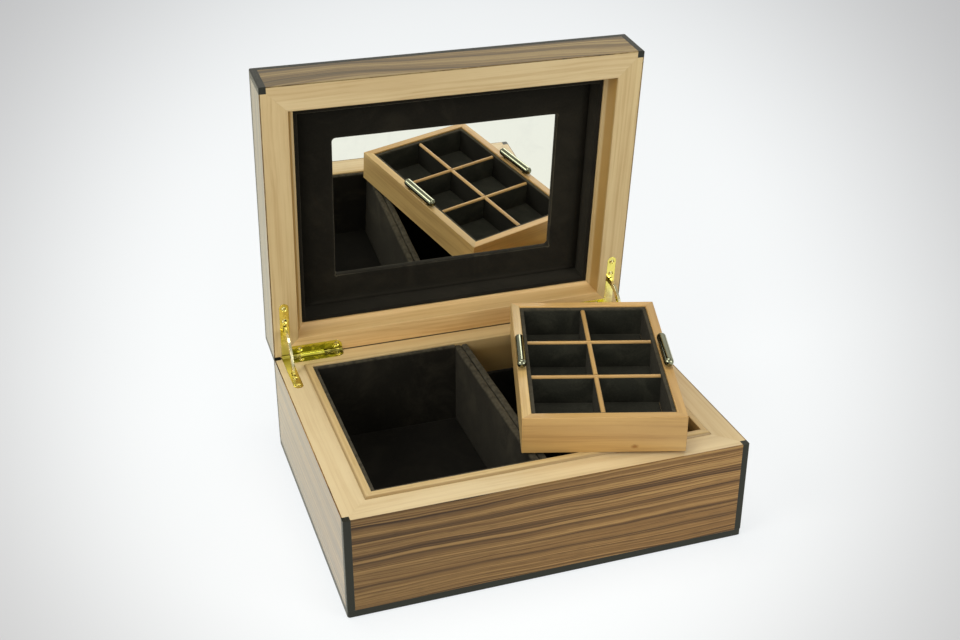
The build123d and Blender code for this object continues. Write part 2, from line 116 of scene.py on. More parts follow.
class DISPLAYBOX_PG_colours(bpy.types.PropertyGroup):
    board_light: colour("Board, light", "Pale boards between the grain", (0.75, 0.61, 0.372))
    board_dark: colour("Board, dark", "Grain of the pale boards", (0.55, 0.392, 0.195))
    lip_light: colour("Lip, light", "Lining boards between the grain", (0.66, 0.50, 0.25))
    lip_dark: colour("Lip, dark", "Grain of the lining boards", (0.43, 0.27, 0.09))
    # The cove's colour is partly its wood and partly painted shade.
    cove: colour("Cove", "Wood of the cove inside the lid's rim", (0.46, 0.27, 0.07))
    tray_light: colour("Tray, light", "Tray boards between the grain", (0.60, 0.375, 0.130))
    tray_dark: colour("Tray, dark", "Grain of the tray boards", (0.43, 0.245, 0.080))
    knot: colour("Knot", "Knot in the tray's front", (0.27, 0.105, 0.012))
    stripe_light: colour("Veneer, light", "Palest stripes of the veneer", (0.39, 0.232, 0.080))
    stripe_middle: colour("Veneer, middle", "Ground of the veneer", (0.205, 0.105, 0.030))
    stripe_dark: colour("Veneer, dark", "Darkest stripes of the veneer", (0.049, 0.0195, 0.003))
    lid_stripe_dark: colour("Lid veneer, dark", "Darkest stripes on the lid",
                            (0.060, 0.043, 0.020))
    edging: colour("Edging", "Dyed black edging", (0.0105, 0.0122, 0.0080))
    suede: colour("Suede", "Dark suede", (0.0088, 0.0082, 0.0062))
    suede_brushed: colour("Suede, brushed", "Suede brushed against its nap",
                          (0.031, 0.0275, 0.0195))
    felt: colour("Felt", "Felt under the base", (0.010, 0.010, 0.010))
    brass: colour("Brass", "Polished brass", (0.92, 0.82, 0.22))
    brass_rubbed: colour("Brass, rubbed", "Brass of the stays", (1.0, 0.95, 0.62))
    # Painted reflection: the dark tone that the hinge's back legs mirror.
    back_leg_reflection: colour("Tarnish", "Darkened brass of the legs at the back", (0.27, 0.26, 0.035))
    gunmetal: colour("Gunmetal", "Dark polished handle bars", (0.25, 0.265, 0.19))
    mirror: colour("Mirror", "Silvering", (0.90, 0.91, 0.885))
    mirror_marked: colour("Mirror, marked", "Silvering under smudges", (0.87, 0.88, 0.86))


class DISPLAYBOX_PG_stage(bpy.types.PropertyGroup):
    lens: amount("Lens", "Focal length", 50.0, unit="CAMERA")
    camera_at: spot("Camera place", "Where the camera stands", (-0.2760, -0.7705, 0.5561))
    camera_turn: triple("Camera turn", "How the camera is aimed",
                        [math.radians(a) for a in (62.81, -0.04, -18.73)],
                        subtype="EULER", unit="ROTATION")
    shift_x: amount("Shift X", "Small sideways shift of the frame", 0.0008)
    shift_y: amount("Shift Y", "Small upward shift of the frame", 0.00255)
    sky: amount("Sky", "Strength of the even light", 0.41)
    backdrop: amount("Backdrop", "Strength of the sky where it is seen", 0.50)
    tint: colour("Light", "Slightly warm tint of the lamps", (1.0, 0.965, 0.87))
    top: amount("Top", "Power of the softbox overhead", 9.0, unit="POWER")
    key: amount("Key", "Power of the large lamp at the left", 7.0, unit="POWER")
    fill: amount("Fill", "Power of the lamp in front at the right", 5.0, unit="POWER")
    pool_from: spot("Pool from", "Source of the floor's pool", (-0.27, -0.78, 0.55))
    pool_tilt: amount("Pool tilt", "Degrees up from straight down", 62.8)
    pool_turn: amount("Pool turn", "Degrees round from the back", -18.1)
    pool_full: amount("Pool, full", "Slope from the beam's axis where the pool ends", 0.205)
    pool_end: amount("Pool, faded", "Slope from the beam's axis where it has faded", 0.475)
    floor_own: amount("Floor, own tone", "How much of its own tone the floor shows", 0.72)
    floor_glow: amount("Floor, glow", "Strength of the floor's own tone", 1.06)
    floor_light: colour("Floor", "Floor round the box", (0.945, 0.973, 0.998))
    floor_edge: colour("Floor, far", "Floor further out", (0.575, 0.58, 0.595))
    floor_mirrored: colour("Floor, mirrored", "Floor in front in polish", (0.89, 0.91, 0.85))
    floor_behind: colour("Floor, behind", "Floor behind the box in polish", (0.98, 0.96, 0.80))


def sizes():
    return bpy.context.scene.display_box_sizes


def colours():
    return bpy.context.scene.display_box_colours


def toned(shade, tone):
    """A shade times one number, or times three."""
    return tuple(a * b for a, b in zip(shade, tone if isinstance(tone, tuple) else (tone,) * 3))


# ---- Node helpers ----
class Net:
    """Adds nodes to one tree; an input is given a value or the socket that feeds it."""

    def __init__(self, tree):
        self.tree = tree

    def put(self, socket, value):
        if isinstance(value, bpy.types.NodeSocket):
            self.tree.links.new(value, socket)
        elif value is not None:
            four = socket.type == "RGBA" and len(value) == 3
            socket.default_value = (*value, 1.0) if four else value

    def add(self, kind, inputs=None, **settings):
        node = self.tree.nodes.new(kind)
        for key, value in settings.items():
            setattr(node, key, value)
        for key, value in (inputs or {}).items():
            self.put(node.inputs[key], value)
        return node

    def out(self, kind, inputs=None, key=0, **settings):
        return self.add(kind, inputs, **settings).outputs[key]

    def math(self, operation, a, b=None, c=None, clamp=False):
        return self.out("ShaderNodeMath", {0: a, 1: b, 2: c}, operation=operation,
                        use_clamp=clamp)

    def times(self, a, b, clamp=False):
        return self.math("MULTIPLY", a, b, clamp=clamp)

    def less(self, a, b):
        return self.math("SUBTRACT", a, b)

    def times_plus(self, a, b, c, clamp=False):
        """a times b, plus c."""
        return self.math("MULTIPLY_ADD", a, b, c, clamp)

    def vector(self, operation, a, b=None):
        key = "Value" if operation in ("LENGTH", "DOT_PRODUCT") else "Vector"
        return self.out("ShaderNodeVectorMath", {0: a, 1: b}, key, operation=operation)

    def part(self, vector, axis):
        return self.out("ShaderNodeSeparateXYZ", {"Vector": vector}, axis)

    def join(self, **parts):
        return self.out("ShaderNodeCombineXYZ", parts)

    def noise(self, vector, scale=1.0, detail=2.0, rough=0.5, warp=0.0):
        return self.out("ShaderNodeTexNoise", {"Vector": vector, "Scale": scale, "Detail": detail,
                                               "Roughness": rough, "Distortion": warp})

    def drawn(self, vector, scales, detail=2.0, rough=0.5, warp=0.0):
        """Noise with its own scale along each axis."""
        return self.noise(self.vector("MULTIPLY", vector, scales), 1.0, detail, rough, warp)

    def span(self, value, low, high, to_low=0.0, to_high=1.0):
        """Carries low to to_low and high to to_high, smoothly and no further."""
        return self.out("ShaderNodeMapRange", {"Value": value, "From Min": low, "From Max": high,
                                               "To Min": to_low, "To Max": to_high},
                        interpolation_type="SMOOTHSTEP")

    def mix(self, factor, a, b, blend="MIX"):
        return self.out("ShaderNodeMix", {0: factor, 6: a, 7: b}, 2, data_type="RGBA",
                        blend_type=blend)

    def use(self, group, inputs):
        return self.add("ShaderNodeGroup", inputs, node_tree=group()).outputs


def shader_group(name, defaults):
    """Makes a node group of a function that draws its nodes and returns its outputs.

    An input without a default is a vector, and one with three values is a colour.
    """
    def wrap(draw):
        def group():
            tree = bpy.data.node_groups.get(name)
            if tree:
                return tree
            tree = bpy.data.node_groups.new(name, "ShaderNodeTree")
            for label, default in defaults.items():
                kind = ("VECTOR" if default is None else
                        "RGBA" if isinstance(default, tuple) else "VALUE")
                socket = tree.interface.new_socket(label, in_out="INPUT",
                                                   socket_type=KINDS[kind])
                if default is not None:
                    socket.default_value = (*default, 1.0) if kind == "RGBA" else default
            net = Net(tree)
            results = draw(net, net.add("NodeGroupInput").outputs)
            for label, value in results.items():
                tree.interface.new_socket(label, in_out="OUTPUT", socket_type=KINDS[value.type])
            net.add("NodeGroupOutput", results)
            return tree
        return group
    return wrap


@shader_group("Board grain", {"Vector": None, "Shift": None, "Light": (0.7, 0.55, 0.32),
                              "Dark": (0.5, 0.35, 0.17), "Figure": 0.45, "Lines": 0.35,
                              "Pores": 0.15})
def board_grain(net, given):
    """Plain close-grained board, its grain along X."""
    at = net.vector("ADD", given["Vector"], given["Shift"])
    wander = net.drawn(at, (5.0, 16.0, 16.0))
    bent = net.vector("ADD", at, net.join(Y=net.times(wander, 0.012), Z=net.times(wander, 0.009)))
    figure = net.drawn(bent, (6.0, 75.0, 75.0))
    rings = net.drawn(bent, (7.0, 420.0, 420.0), 3.0, 0.6)
    pores = net.drawn(bent, (90.0, 2600.0, 2600.0), 1.0)
    mottle = net.noise(at, 38.0, 3.0)
    shade = net.times(net.span(figure, 0.36, 0.66), given["Figure"])
    shade = net.times_plus(net.span(rings, 0.42, 0.72), given["Lines"], shade)
    shade = net.times_plus(net.span(pores, 0.52, 0.75), given["Pores"], shade)
    shade = net.times_plus(net.less(mottle, 0.5), 0.30, shade, True)
    return {"Color": net.mix(shade, given["Light"], given["Dark"]),
            "Roughness": net.span(rings, 0.35, 0.75, 0.38, 0.50),
            "Height": net.times_plus(pores, -0.5, rings)}


@shader_group("Striped veneer", {"Vector": None, "Shift": None, "Light": (0.3, 0.17, 0.07),
                                 "Middle": (0.15, 0.08, 0.03), "Dark": (0.05, 0.03, 0.02),
                                 "Sway": 0.012, "Density": 1.0, "Rings": 150.0, "Flow": 5.0})
def striped_veneer(net, given):
    """Striped rosewood veneer: X along the stripes, Y across them."""
    at = net.vector("ADD", given["Vector"], given["Shift"])
    sway = net.drawn(at, (3.2, 9.0, 0.0), 2.0, 0.45)
    waver = net.drawn(at, (14.0, 60.0, 0.0))
    x, y = net.part(at, "X"), net.part(at, "Y")
    bend = net.times(net.less(sway, 0.5), given["Sway"])
    bend = net.times_plus(net.less(waver, 0.5), 0.0035, bend)
    y = net.math("ADD", y, bend)
    flow = net.join(X=net.times(x, 0.9), Y=net.times(y, 170.0))
    wide = net.noise(flow, given["Density"])
    thin = net.noise(net.join(X=net.times(x, 3.0), Y=net.times(y, 820.0)), 1.0, 4.0, 0.68)
    fleck = net.drawn(at, (80.0, 2200.0, 2200.0), 1.0)
    # Growth rings: each darkens slowly and ends sharply, faintest where the ground is dark.
    slow = net.drawn(flow, (0.8, 0.22, 1.0), 1.0)
    ring = net.math("FRACT", net.times_plus(slow, given["Flow"], net.times(y, given["Rings"])))
    line = net.times(net.span(ring, 0.30, 0.90), net.span(ring, 0.92, 1.0, 1.0, 0.0))
    line = net.times(line, net.span(wide, 0.34, 0.60, 1.0, 0.12))
    tone = net.times_plus(net.less(thin, 0.5), 2.0, wide)
    shade = net.mix(net.span(tone, 0.18, 0.44), given["Dark"], given["Middle"])
    shade = net.mix(net.span(tone, 0.44, 0.78), shade, given["Light"])
    shade = net.mix(net.times(line, 0.75), shade, given["Dark"])
    shade = net.mix(net.times(net.span(fleck, 0.56, 0.74), 0.40), shade, given["Dark"])
    return {"Color": shade, "Roughness": net.span(thin, 0.3, 0.7, 0.30, 0.40),
            "Height": net.times_plus(fleck, -0.6, thin)}


@shader_group("Suede nap", {"Vector": None, "Color": (0.01, 0.009, 0.008),
                            "Brushed Color": (0.03, 0.025, 0.02), "Patches": 28.0,
                            "Brushed": 0.5})
def suede_nap(net, given):
    """Short brushed nap, with patches lying the other way."""
    at = given["Vector"]
    patches = net.noise(at, given["Patches"], 4.0, 0.62, 0.9)
    strokes = net.drawn(at, (60.0, 60.0, 150.0), 3.0, 0.6, 0.4)
    fibres = net.noise(at, 2400.0, 2.0, 0.7)
    grit = net.noise(at, 800.0, 2.0, 0.6)
    brushed = net.times(net.span(patches, 0.42, 0.70), given["Brushed"])
    brushed = net.times_plus(net.less(strokes, 0.45), 0.30, brushed)
    brushed = net.times_plus(net.less(grit, 0.5), 0.35, brushed, True)
    return {"Color": net.mix(brushed, given["Color"], given["Brushed Color"]),
            "Roughness": net.span(fibres, 0.3, 0.7, 0.86, 0.98),
            "Height": net.times_plus(fibres, 0.6, grit)}


@shader_group("Soft arris", {"Vector": None, "Radius": 0.0004, "Amount": 0.5})
def soft_arris(net, given):
    """Rounds the look of sharp edges and finds where they are lightened: partly rubbing, partly a
    painted highlight.
    """
    soft = net.out("ShaderNodeBevel", {"Radius": given["Radius"]}, samples=4)
    plain = net.out("ShaderNodeNewGeometry", key="Normal")
    turned = net.less(1.0, net.vector("DOT_PRODUCT", soft, plain))
    edge_rub_and_highlight = net.noise(given["Vector"], 420.0, 3.0, 0.6)
    mask = net.times(net.span(turned, 0.02, 0.25), net.span(edge_rub_and_highlight, 0.35, 0.65))
    return {"Normal": soft, "Wear": net.times(mask, given["Amount"], clamp=True)}


@shader_group("Handling", {"Vector": None, "Polish": 0.12, "Marks": 0.10})
def handling(net, given):
    """Faint smudges and hairlines left by hands and cloths on polish."""
    at = given["Vector"]
    smudge = net.noise(at, 70.0, 4.0, 0.6, 0.5)
    hair = net.drawn(at, (2600.0, 240.0, 900.0))
    mark = net.times_plus(net.span(hair, 0.55, 0.75), 0.35, net.span(smudge, 0.45, 0.75))
    return {"Roughness": net.times_plus(mark, given["Marks"], given["Polish"], True),
            "Mark": mark, "Height": net.times_plus(hair, 0.05, net.noise(at, 260.0))}


# ---- Materials ----
def fresh(owner):
    """A net over the emptied tree of a material or the world."""
    owner.use_nodes = True
    owner.node_tree.nodes.clear()
    return Net(owner.node_tree)


class Finish(Net):
    """A material in the making, with one Principled shader at its end."""

    def __init__(self, name):
        self.material = bpy.data.materials.new(name)
        super().__init__(fresh(self.material).tree)
        self.at = self.out("ShaderNodeTexCoord", key="Object")

    def arris(self, radius, edge_rub_and_highlight):
        return self.use(soft_arris, {"Vector": self.at, "Radius": radius, "Amount": edge_rub_and_highlight})

    def bump(self, height, strength, distance, normal=None):
        normal = normal or self.out("ShaderNodeNewGeometry", key="Normal")
        return self.out("ShaderNodeBump", {"Height": height, "Strength": strength,
                                           "Distance": distance, "Normal": normal})

    def from_hinge(self):
        """Distance from the line of the hinge."""
        away = self.vector("MULTIPLY", self.vector("SUBTRACT", self.at, HINGE_AT), (0, 1, 1))
        return self.vector("LENGTH", away)

    def done(self, shade, rough, normal, settings):
        shader = self.out("ShaderNodeBsdfPrincipled", {"Base Color": shade, "Roughness": rough,
                                                       "Normal": normal, **settings})
        self.add("ShaderNodeOutputMaterial", {"Surface": shader})
        return self.material


def turned_back(net, body, axes):
    """Object coordinates brought back to how the body was made, its axes put in order."""
    turn = {"base": (0, 0, 0), "lid": (LID_OPEN, 0, 0), "tray": (0, 0, -sizes().tray_turn)}[body]
    pivot = HINGE_AT if body == "lid" else Vector()
    back = net.vector("SUBTRACT", net.at, pivot)
    back = net.out("ShaderNodeMapping", {"Vector": back, "Rotation": turn})
    back = net.vector("ADD", back, pivot)
    return net.join(**{into: net.part(back, axis.upper()) for into, axis in zip("XYZ", axes)})


def board_material(name, body, axes, light, dark, shift, figure=0.45, lines=0.35, pores=0.15,
                   coat=0.25, knot=None, cove=0.0, seam=False, groove=None):
    """Close-grained board; cove is how far its cove is darkened, partly its own tone and partly
    painted shade, groove where a lip's wall is.
    """
    net = Finish(name)
    along = turned_back(net, body, axes)
    grain = net.use(board_grain, {"Vector": along, "Shift": shift, "Light": light, "Dark": dark,
                                  "Figure": figure, "Lines": lines, "Pores": pores})
    edge = net.arris(0.35 * MM, 0.45)
    # Paler along the edges: partly rubbing, partly a painted highlight.
    shade = net.mix(edge["Wear"], grain["Color"], light)
    # The cove inside the lid's rim is darker and redder: partly the wood's own tone, partly painted
    # shade. It stays paler at the bead by the suede.
    if cove:
        depth = net.part(along, "Z")
        tint = net.span(depth, LID_RIM - 0.5 * MM, LID_RIM + 2.2 * MM, 0.0, cove)
        bead = net.span(depth, LID_RIM + 8.5 * MM, LID_RIM + 10.2 * MM, 1.0, 0.15)
        shade = net.mix(net.times(tint, bead), shade, colours().cove)
    if groove:
        # Painted shade: darker below the rim, on the lip's inner face, and a painted shadow line
        # where the lip meets the wall.
        below = net.span(net.part(along, "Z"), HINGE_AT.z - 9.0 * MM, HINGE_AT.z - 1.0 * MM,
                         0.9, 0.0)
        shade = net.mix(below, shade, toned(dark, 0.75))
        out = net.math("ABSOLUTE", net.part(along, "Y"))
        shade = net.mix(net.span(out, groove - 1.8 * MM, groove - 0.4 * MM, 0.0, 0.75), shade,
                        toned(dark, 0.6))
    if seam:
        # Painted shadow: a dark line in the joint between the rims at the hinge.
        shade = net.mix(net.span(net.from_hinge(), 0.3 * MM, 0.85 * MM, 0.97, 0.0), shade,
                        toned(dark, 0.06))
    if knot:
        away = net.vector("MULTIPLY", net.vector("SUBTRACT", along, knot), (1.0, 1.5, 0.0))
        blot = net.times_plus(net.noise(along, 900.0), 1.6 * MM, net.vector("LENGTH", away))
        shade = net.mix(net.span(blot, 1.2 * MM, 4.2 * MM, 0.85, 0.0), shade, colours().knot)
    return net.done(shade, grain["Roughness"],
                    net.bump(grain["Height"], 0.10, 0.12 * MM, edge["Normal"]),
                    {"Coat Weight": coat, "Coat Roughness": 0.32})


def veneer_material(name, body, axes, shift, sway=0.012, density=1.0, rings=150.0, flow=5.0,
                    tone=1.0, fade=0.0, coat=0.85, satin=0.14):
    """Striped veneer; the slope given makes it darker towards its left end and paler towards its
    right: painted light.
    """
    net, tones = Finish(name), colours()
    along = turned_back(net, body, axes)
    stripes = net.use(striped_veneer, {
        "Vector": along, "Shift": shift, "Light": toned(tones.stripe_light, tone),
        "Middle": toned(tones.stripe_middle, tone),
        "Dark": tones.lid_stripe_dark if body == "lid" else tones.stripe_dark,
        "Sway": sway, "Density": density, "Rings": rings, "Flow": flow})
    edge = net.arris(0.3 * MM, 0.35)
    # Paler along the edges: partly rubbing, partly a painted highlight.
    shade = net.mix(edge["Wear"], stripes["Color"], tones.stripe_light)
    # Painted light: darker to the left and paler to the right, as the light falls across it.
    if fade:
        scale = net.span(net.part(along, "X"), -0.16, 0.16, 1.0 - fade, 1.0 + fade)
        shade = net.mix(1.0, shade, net.join(X=scale, Y=scale, Z=scale), "MULTIPLY")
    return net.done(shade, stripes["Roughness"],
                    net.bump(stripes["Height"], 0.08, 0.1 * MM, edge["Normal"]),
                    {"Specular IOR Level": 0.15, "Coat Weight": coat, "Coat Roughness": satin,
                     "Coat IOR": 1.34})


def edging_material():
    net = Finish("Black edging")
    fine = net.noise(net.at, 900.0, 3.0, 0.6)
    edge = net.arris(0.5 * MM, 0.6)
    black = colours().edging
    # The black is paler along its edges: partly rubbing, partly a painted highlight.
    return net.done(net.mix(edge["Wear"], black, toned(black, 6.0)),
                    net.span(fine, 0.3, 0.7, 0.30, 0.46),
                    net.bump(fine, 0.12, 0.1 * MM, edge["Normal"]),
                    {"Specular IOR Level": 0.30, "Coat Weight": 0.12, "Coat Roughness": 0.2})


def suede_material(name, patches, brushed, tone, sheen, rub_and_highlight_height=None, deep=None, shaded_facing=None):
    """Suede; paler just under the top height given, partly rubbed nap and partly a painted
    highlight, and darker towards the lower of the two heights of deep: painted shade.
    """
    net, dark, pale = Finish(name), colours().suede, colours().suede_brushed
    nap = net.use(suede_nap, {"Vector": net.at, "Color": toned(dark, tone),
                              "Brushed Color": toned(pale, tone),
                              "Patches": patches, "Brushed": brushed})
    shade, height = nap["Color"], net.part(net.at, "Z")
    if rub_and_highlight_height:
        # Paler along the top edge: partly rubbed nap, partly a painted highlight.
        rub_and_highlight = net.times(net.span(height, rub_and_highlight_height - 2.2 * MM, rub_and_highlight_height - 0.4 * MM),
                        net.span(net.noise(net.at, 240.0, 3.0), 0.30, 0.62, 0.35, 1.0))
        shade = net.mix(rub_and_highlight, shade, toned(pale, 2.1))
    if deep:
        # Painted shade: darker towards the floor.
        shade = net.mix(net.span(height, *deep, 0.75, 0.0), shade, toned(dark, 0.35))
    if shaded_facing:
        # Painted shade: faces that look this way are made darker.
        facing = net.vector("DOT_PRODUCT", net.out("ShaderNodeTexCoord", key="Normal"), shaded_facing)
        shade = net.mix(net.span(facing, 0.45, 0.85, 0.0, 0.8), shade, toned(dark, 0.4))
    return net.done(shade, nap["Roughness"], net.bump(nap["Height"], 0.5, 0.3 * MM),
                    {"Sheen Weight": sheen, "Sheen Roughness": 0.45,
                     "Sheen Tint": (0.60, 0.56, 0.45), "Specular IOR Level": 0.15})


def metal_material(name, base, polish, marks, wave, arris=0.3 * MM, back_leg_reflection=None, pin_light_and_shade=None):
    """Polished metal; a hinge leaf's legs get two painted tones: a painted dark reflection along
    the back legs, and by the pin a painted highlight on the lid's leaves and painted shade on the
    base's.
    """
    net = Finish(name)
    hands = net.use(handling, {"Vector": net.at, "Polish": polish, "Marks": marks})
    edge = net.arris(arris, 1.0)
    shade = net.mix(net.times(hands["Mark"], 0.35), base, toned(base, 0.8))
    rough = hands["Roughness"]
    if back_leg_reflection:
        # Painted reflection: the legs along the hinge line are darkened between their edges,
        # standing for the dark lid and suede that they mirror; their edges stay bright.
        out = net.math("ABSOLUTE", net.part(net.at, "X"))
        dark = net.times(net.span(out, *SIDE_LEG, 1.0, 0.0),
                         net.span(net.noise(net.at, 170.0, 3.0, 0.6, 0.6), 0.34, 0.56, 0.45, 1.0))
        dark = net.times(dark, net.span(edge["Wear"], 0.0, 0.35, 1.0, 0.0))
        shade = net.mix(dark, shade, back_leg_reflection)
        # Near the pin the side leg gets another tone, a painted highlight on the lid's leaves and
        # painted shade on the base's, and is made rougher.
        near = net.times(net.span(net.from_hinge(), 7.0 * MM, 24.0 * MM, 0.75, 0.0),
                         net.span(out, *SIDE_LEG))
        shade = net.mix(near, shade, pin_light_and_shade)
        rough = net.times_plus(near, 0.25, rough)
    return net.done(shade, rough, net.bump(hands["Height"], wave, 0.3 * MM, edge["Normal"]),
                    {"Metallic": 1.0})


def mirror_material():
    net = Finish("Silvered mirror")
    hands = net.use(handling, {"Vector": net.at, "Polish": 0.0, "Marks": 0.012})
    return net.done(net.mix(hands["Mark"], colours().mirror, colours().mirror_marked),
                    hands["Roughness"], None, {"Metallic": 1.0})


def felt_material():
    net, dark = Finish("Base felt"), colours().felt
    nap = net.use(suede_nap, {"Vector": net.at, "Color": dark, "Brushed Color": toned(dark, 2.2),
                              "Patches": 60.0, "Brushed": 0.25})
    return net.done(nap["Color"], nap["Roughness"], net.bump(nap["Height"], 0.8, 0.4 * MM),
                    {"Specular IOR Level": 0.1})


def dress(node, material):
    """Gives a CAD node its material."""
    materials = frame["nodes"][node].data.materials
    materials.clear()
    materials.append(material)


def clad(node, make, *shape, **looks):
    """Dresses a node in wood that is named after it and made for its body."""
    dress(node, make(node.replace("_", " ").capitalize(), node.split("_")[0], *shape, **looks))


# ---- Shapes ----
def lid_place():
    """From the closed lid's own frame, its rim at z = 0, to where the lid stands."""
    closed = Matrix.Translation((0, 0, LID_RIM))
    swing = Matrix.Rotation(-LID_OPEN, 4, "X")
    return Matrix.Translation(HINGE_AT) @ swing @ Matrix.Translation(-HINGE_AT) @ closed


def tray_place():
    """From the tray's own frame, its underside at z = 0, to where it lies."""
    return (Matrix.Translation(sizes().tray_place)
            @ Matrix.Rotation(sizes().tray_turn, 4, "Z"))


def rounded_loop(half_x, half_y, radius, run, arc=6):
    """Points round a rectangle, the same number whatever its corner radius."""
    loop = []
    corners = ((1, -1), (1, 1), (-1, 1), (-1, -1))
    for turn, (sx, sy) in enumerate(corners):
        centre = Vector((sx * (half_x - radius), sy * (half_y - radius)))
        start = math.radians(90 * (turn - 1))
        for step in range(arc + 1):
            a = start + math.radians(90 * step / arc)
            loop.append(centre + radius * Vector((math.cos(a), math.sin(a))))
        nx, ny = corners[(turn + 1) % 4]
        a = start + math.radians(90)
        ahead = (Vector((nx * (half_x - radius), ny * (half_y - radius)))
                 + radius * Vector((math.cos(a), math.sin(a))))
        last = loop[-1]
        loop += [last.lerp(ahead, step / run) for step in range(1, run)]
    return loop


def quarter(at, radius, start, steps=4):
    """Points of a quarter turn for a section: start is its first angle in degrees."""
    angles = [math.radians(start + 90 * k / steps) for k in range(steps + 1)]
    return [(at[0] + radius * math.cos(a), at[1] + radius * math.sin(a)) for a in angles]


def skin(rows, tube=False, ends=False):
    """Vertices and faces over rows of points.

    A tube's last row meets its first; any other shape is closed over both of them. Rows
    with ends stay open, and the tube that they make is closed at its ends.
    """
    count, width = len(rows), len(rows[0])
    faces = []
    for i in range(count if tube else count - 1):
        for j in range(width - 1 if ends else width):
            a, b, k = i * width, ((i + 1) % count) * width, (j + 1) % width
            faces.append((a + j, a + k, b + k, b + j))
    if not tube:
        faces += [tuple(range(width)), tuple((count - 1) * width + j for j in range(width))]
    if ends:
        faces += [tuple(i * width + j for i in range(count)) for j in (0, width - 1)]
    return [point for row in rows for point in row], faces


def uneven(point, amount, seed=0.0):
    """Moves a point by a smooth unevenness, always the same for the same place."""
    drift = noise.noise_vector(Vector(point) * 45.0 + Vector((seed, 3.1, 7.7)))
    return Vector(point) + amount * drift


def ring_rows(box, section, seed, own=False, run=22, ripple=None):
    """Rows round a box; a section's points are its inset, its height and a corner radius.

    The radius may be left out, and own is for a box that lies about its own frame's origin.
    """
    ripple = sizes().ripple if ripple is None else ripple
    half, centre = (box[1] - box[0]) / 2, Vector() if own else (box[1] + box[0]) / 2
    rows = []
    for inset, z, *corner in section:
        loop = rounded_loop(half.x - inset, half.y - inset, corner[0] if corner else 0.0, run)
        rows.append([uneven((centre.x + p.x, centre.y + p.y, z), ripple, seed) for p in loop])
    return rows


def pad_shape(box, foot, thick, crown, seed, own=False):
    """From a pad's foot up its soft edge and in to its crowned middle."""
    edge = ((0.0, 0.0), (0.0, 0.45), (0.15, 0.72), (0.5, 0.9), (1.1, 1.0))
    section = [(i * MM, foot + k * thick) for i, k in edge]
    half = (box[1] - box[0]) / 2
    reach = min(half.x, half.y)
    inset = edge[-1][0] * MM
    while inset < 0.96 * reach:
        section.append((inset, foot + thick + crown * math.sin(0.5 * math.pi * inset / reach)))
        inset += max(1.5 * MM, 0.11 * reach)
    return skin(ring_rows(box, section, seed, own))


def lining_shape(box, soft, seed, own=False):
    """A lining round four walls, its top edge rounded."""
    (low, high), thick, arris = box, sizes().lining, 0.3 * MM
    section = [(0.0, low.z), (thick, low.z), (thick, (low.z + high.z) / 2)]
    section += quarter((thick - soft, high.z - soft), soft, 0)
    section += [(arris, high.z), (0.0, high.z - arris)]
    return skin(ring_rows(box, section, seed, own), tube=True)


def clean_mesh(name, shape):
    """A mesh of vertices and faces, its doubles merged and its faces outward."""
    mesh = bpy.data.meshes.new(name)
    mesh.from_pydata([tuple(v) for v in shape[0]], [], shape[1])
    work = bmesh.new()
    work.from_mesh(mesh)
    bmesh.ops.remove_doubles(work, verts=work.verts, dist=2e-6)
    bmesh.ops.dissolve_degenerate(work, edges=work.edges, dist=1e-7)
    bmesh.ops.recalc_face_normals(work, faces=work.faces)
    work.to_mesh(mesh)
    work.free()
    return mesh


def linked(name, data):
    """A new object in the scene."""
    item = bpy.data.objects.new(name, data)
    bpy.context.scene.collection.objects.link(item)
    return item


def add_piece(name, mesh, material, body, crease=40.0):
    """A mesh's object, smooth but for its creases, riding on a body."""
    mesh.materials.clear()
    mesh.materials.append(material)
    mesh.shade_smooth()
    mesh.set_sharp_from_angle(angle=math.radians(crease))
    item = linked(name, mesh)
    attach(item, body)
    return item


def make_piece(name, shape, material, body, at=None, crease=40.0):
    """A finished piece riding on a body, its place in its mesh."""
    mesh = clean_mesh(name, shape)
    if at is not None:
        mesh.transform(at)
    return add_piece(name, mesh, material, body, crease)


def soft_piece(name, node, shape, material, at=None, crease=40.0):
    """A suede piece that stands in for a padded CAD node of the same body."""
    body = {"lid": "lid", "mirror": "lid", "tray": "tray"}.get(node.split("_")[0], "base")
    piece = make_piece(name, shape, material, body, at, crease)
    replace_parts(piece, node)
    return piece


def modified(item):
    """The mesh that an object's modifiers leave; the object is removed with them."""
    bpy.context.view_layer.update()
    graph = bpy.context.evaluated_depsgraph_get()
    mesh = bpy.data.meshes.new_from_object(item.evaluated_get(graph))
    bpy.data.objects.remove(item)
    return mesh


def merged(node):
    """A copy of a CAD node's mesh to work on, its doubles merged."""
    work = bmesh.new()
    work.from_mesh(frame["nodes"][node].data)
    bmesh.ops.remove_doubles(work, verts=work.verts, dist=1e-6)
    return work


def solids_of(node, back):
    """Each loose solid of a CAD node, as its lowest and highest corners after a turn."""
    work = merged(node)
    left, found = set(work.verts), []
    while left:
        stack, solid = [left.pop()], []
        while stack:
            vert = stack.pop()
            solid.append(back @ vert.co)
            joined = {edge.other_vert(vert) for edge in vert.link_edges} & left
            left -= joined
            stack += joined
        found.append([Vector([pick(p[i] for p in solid) for i in range(3)])
                      for pick in (min, max)])
    work.free()
    # A set gives its vertices in no fixed order, so the solids are put in order by their place.
    return sorted(found, key=lambda box: [round(c / MM) for c in box[0]])


def own_box(node, at):
    """The lowest and highest corners of a CAD node in the frame that at comes from."""
    solids = solids_of(node, at.inverted())
    return [Vector([pick(s[end][i] for s in solids) for i in range(3)])
            for end, pick in enumerate((min, max))]


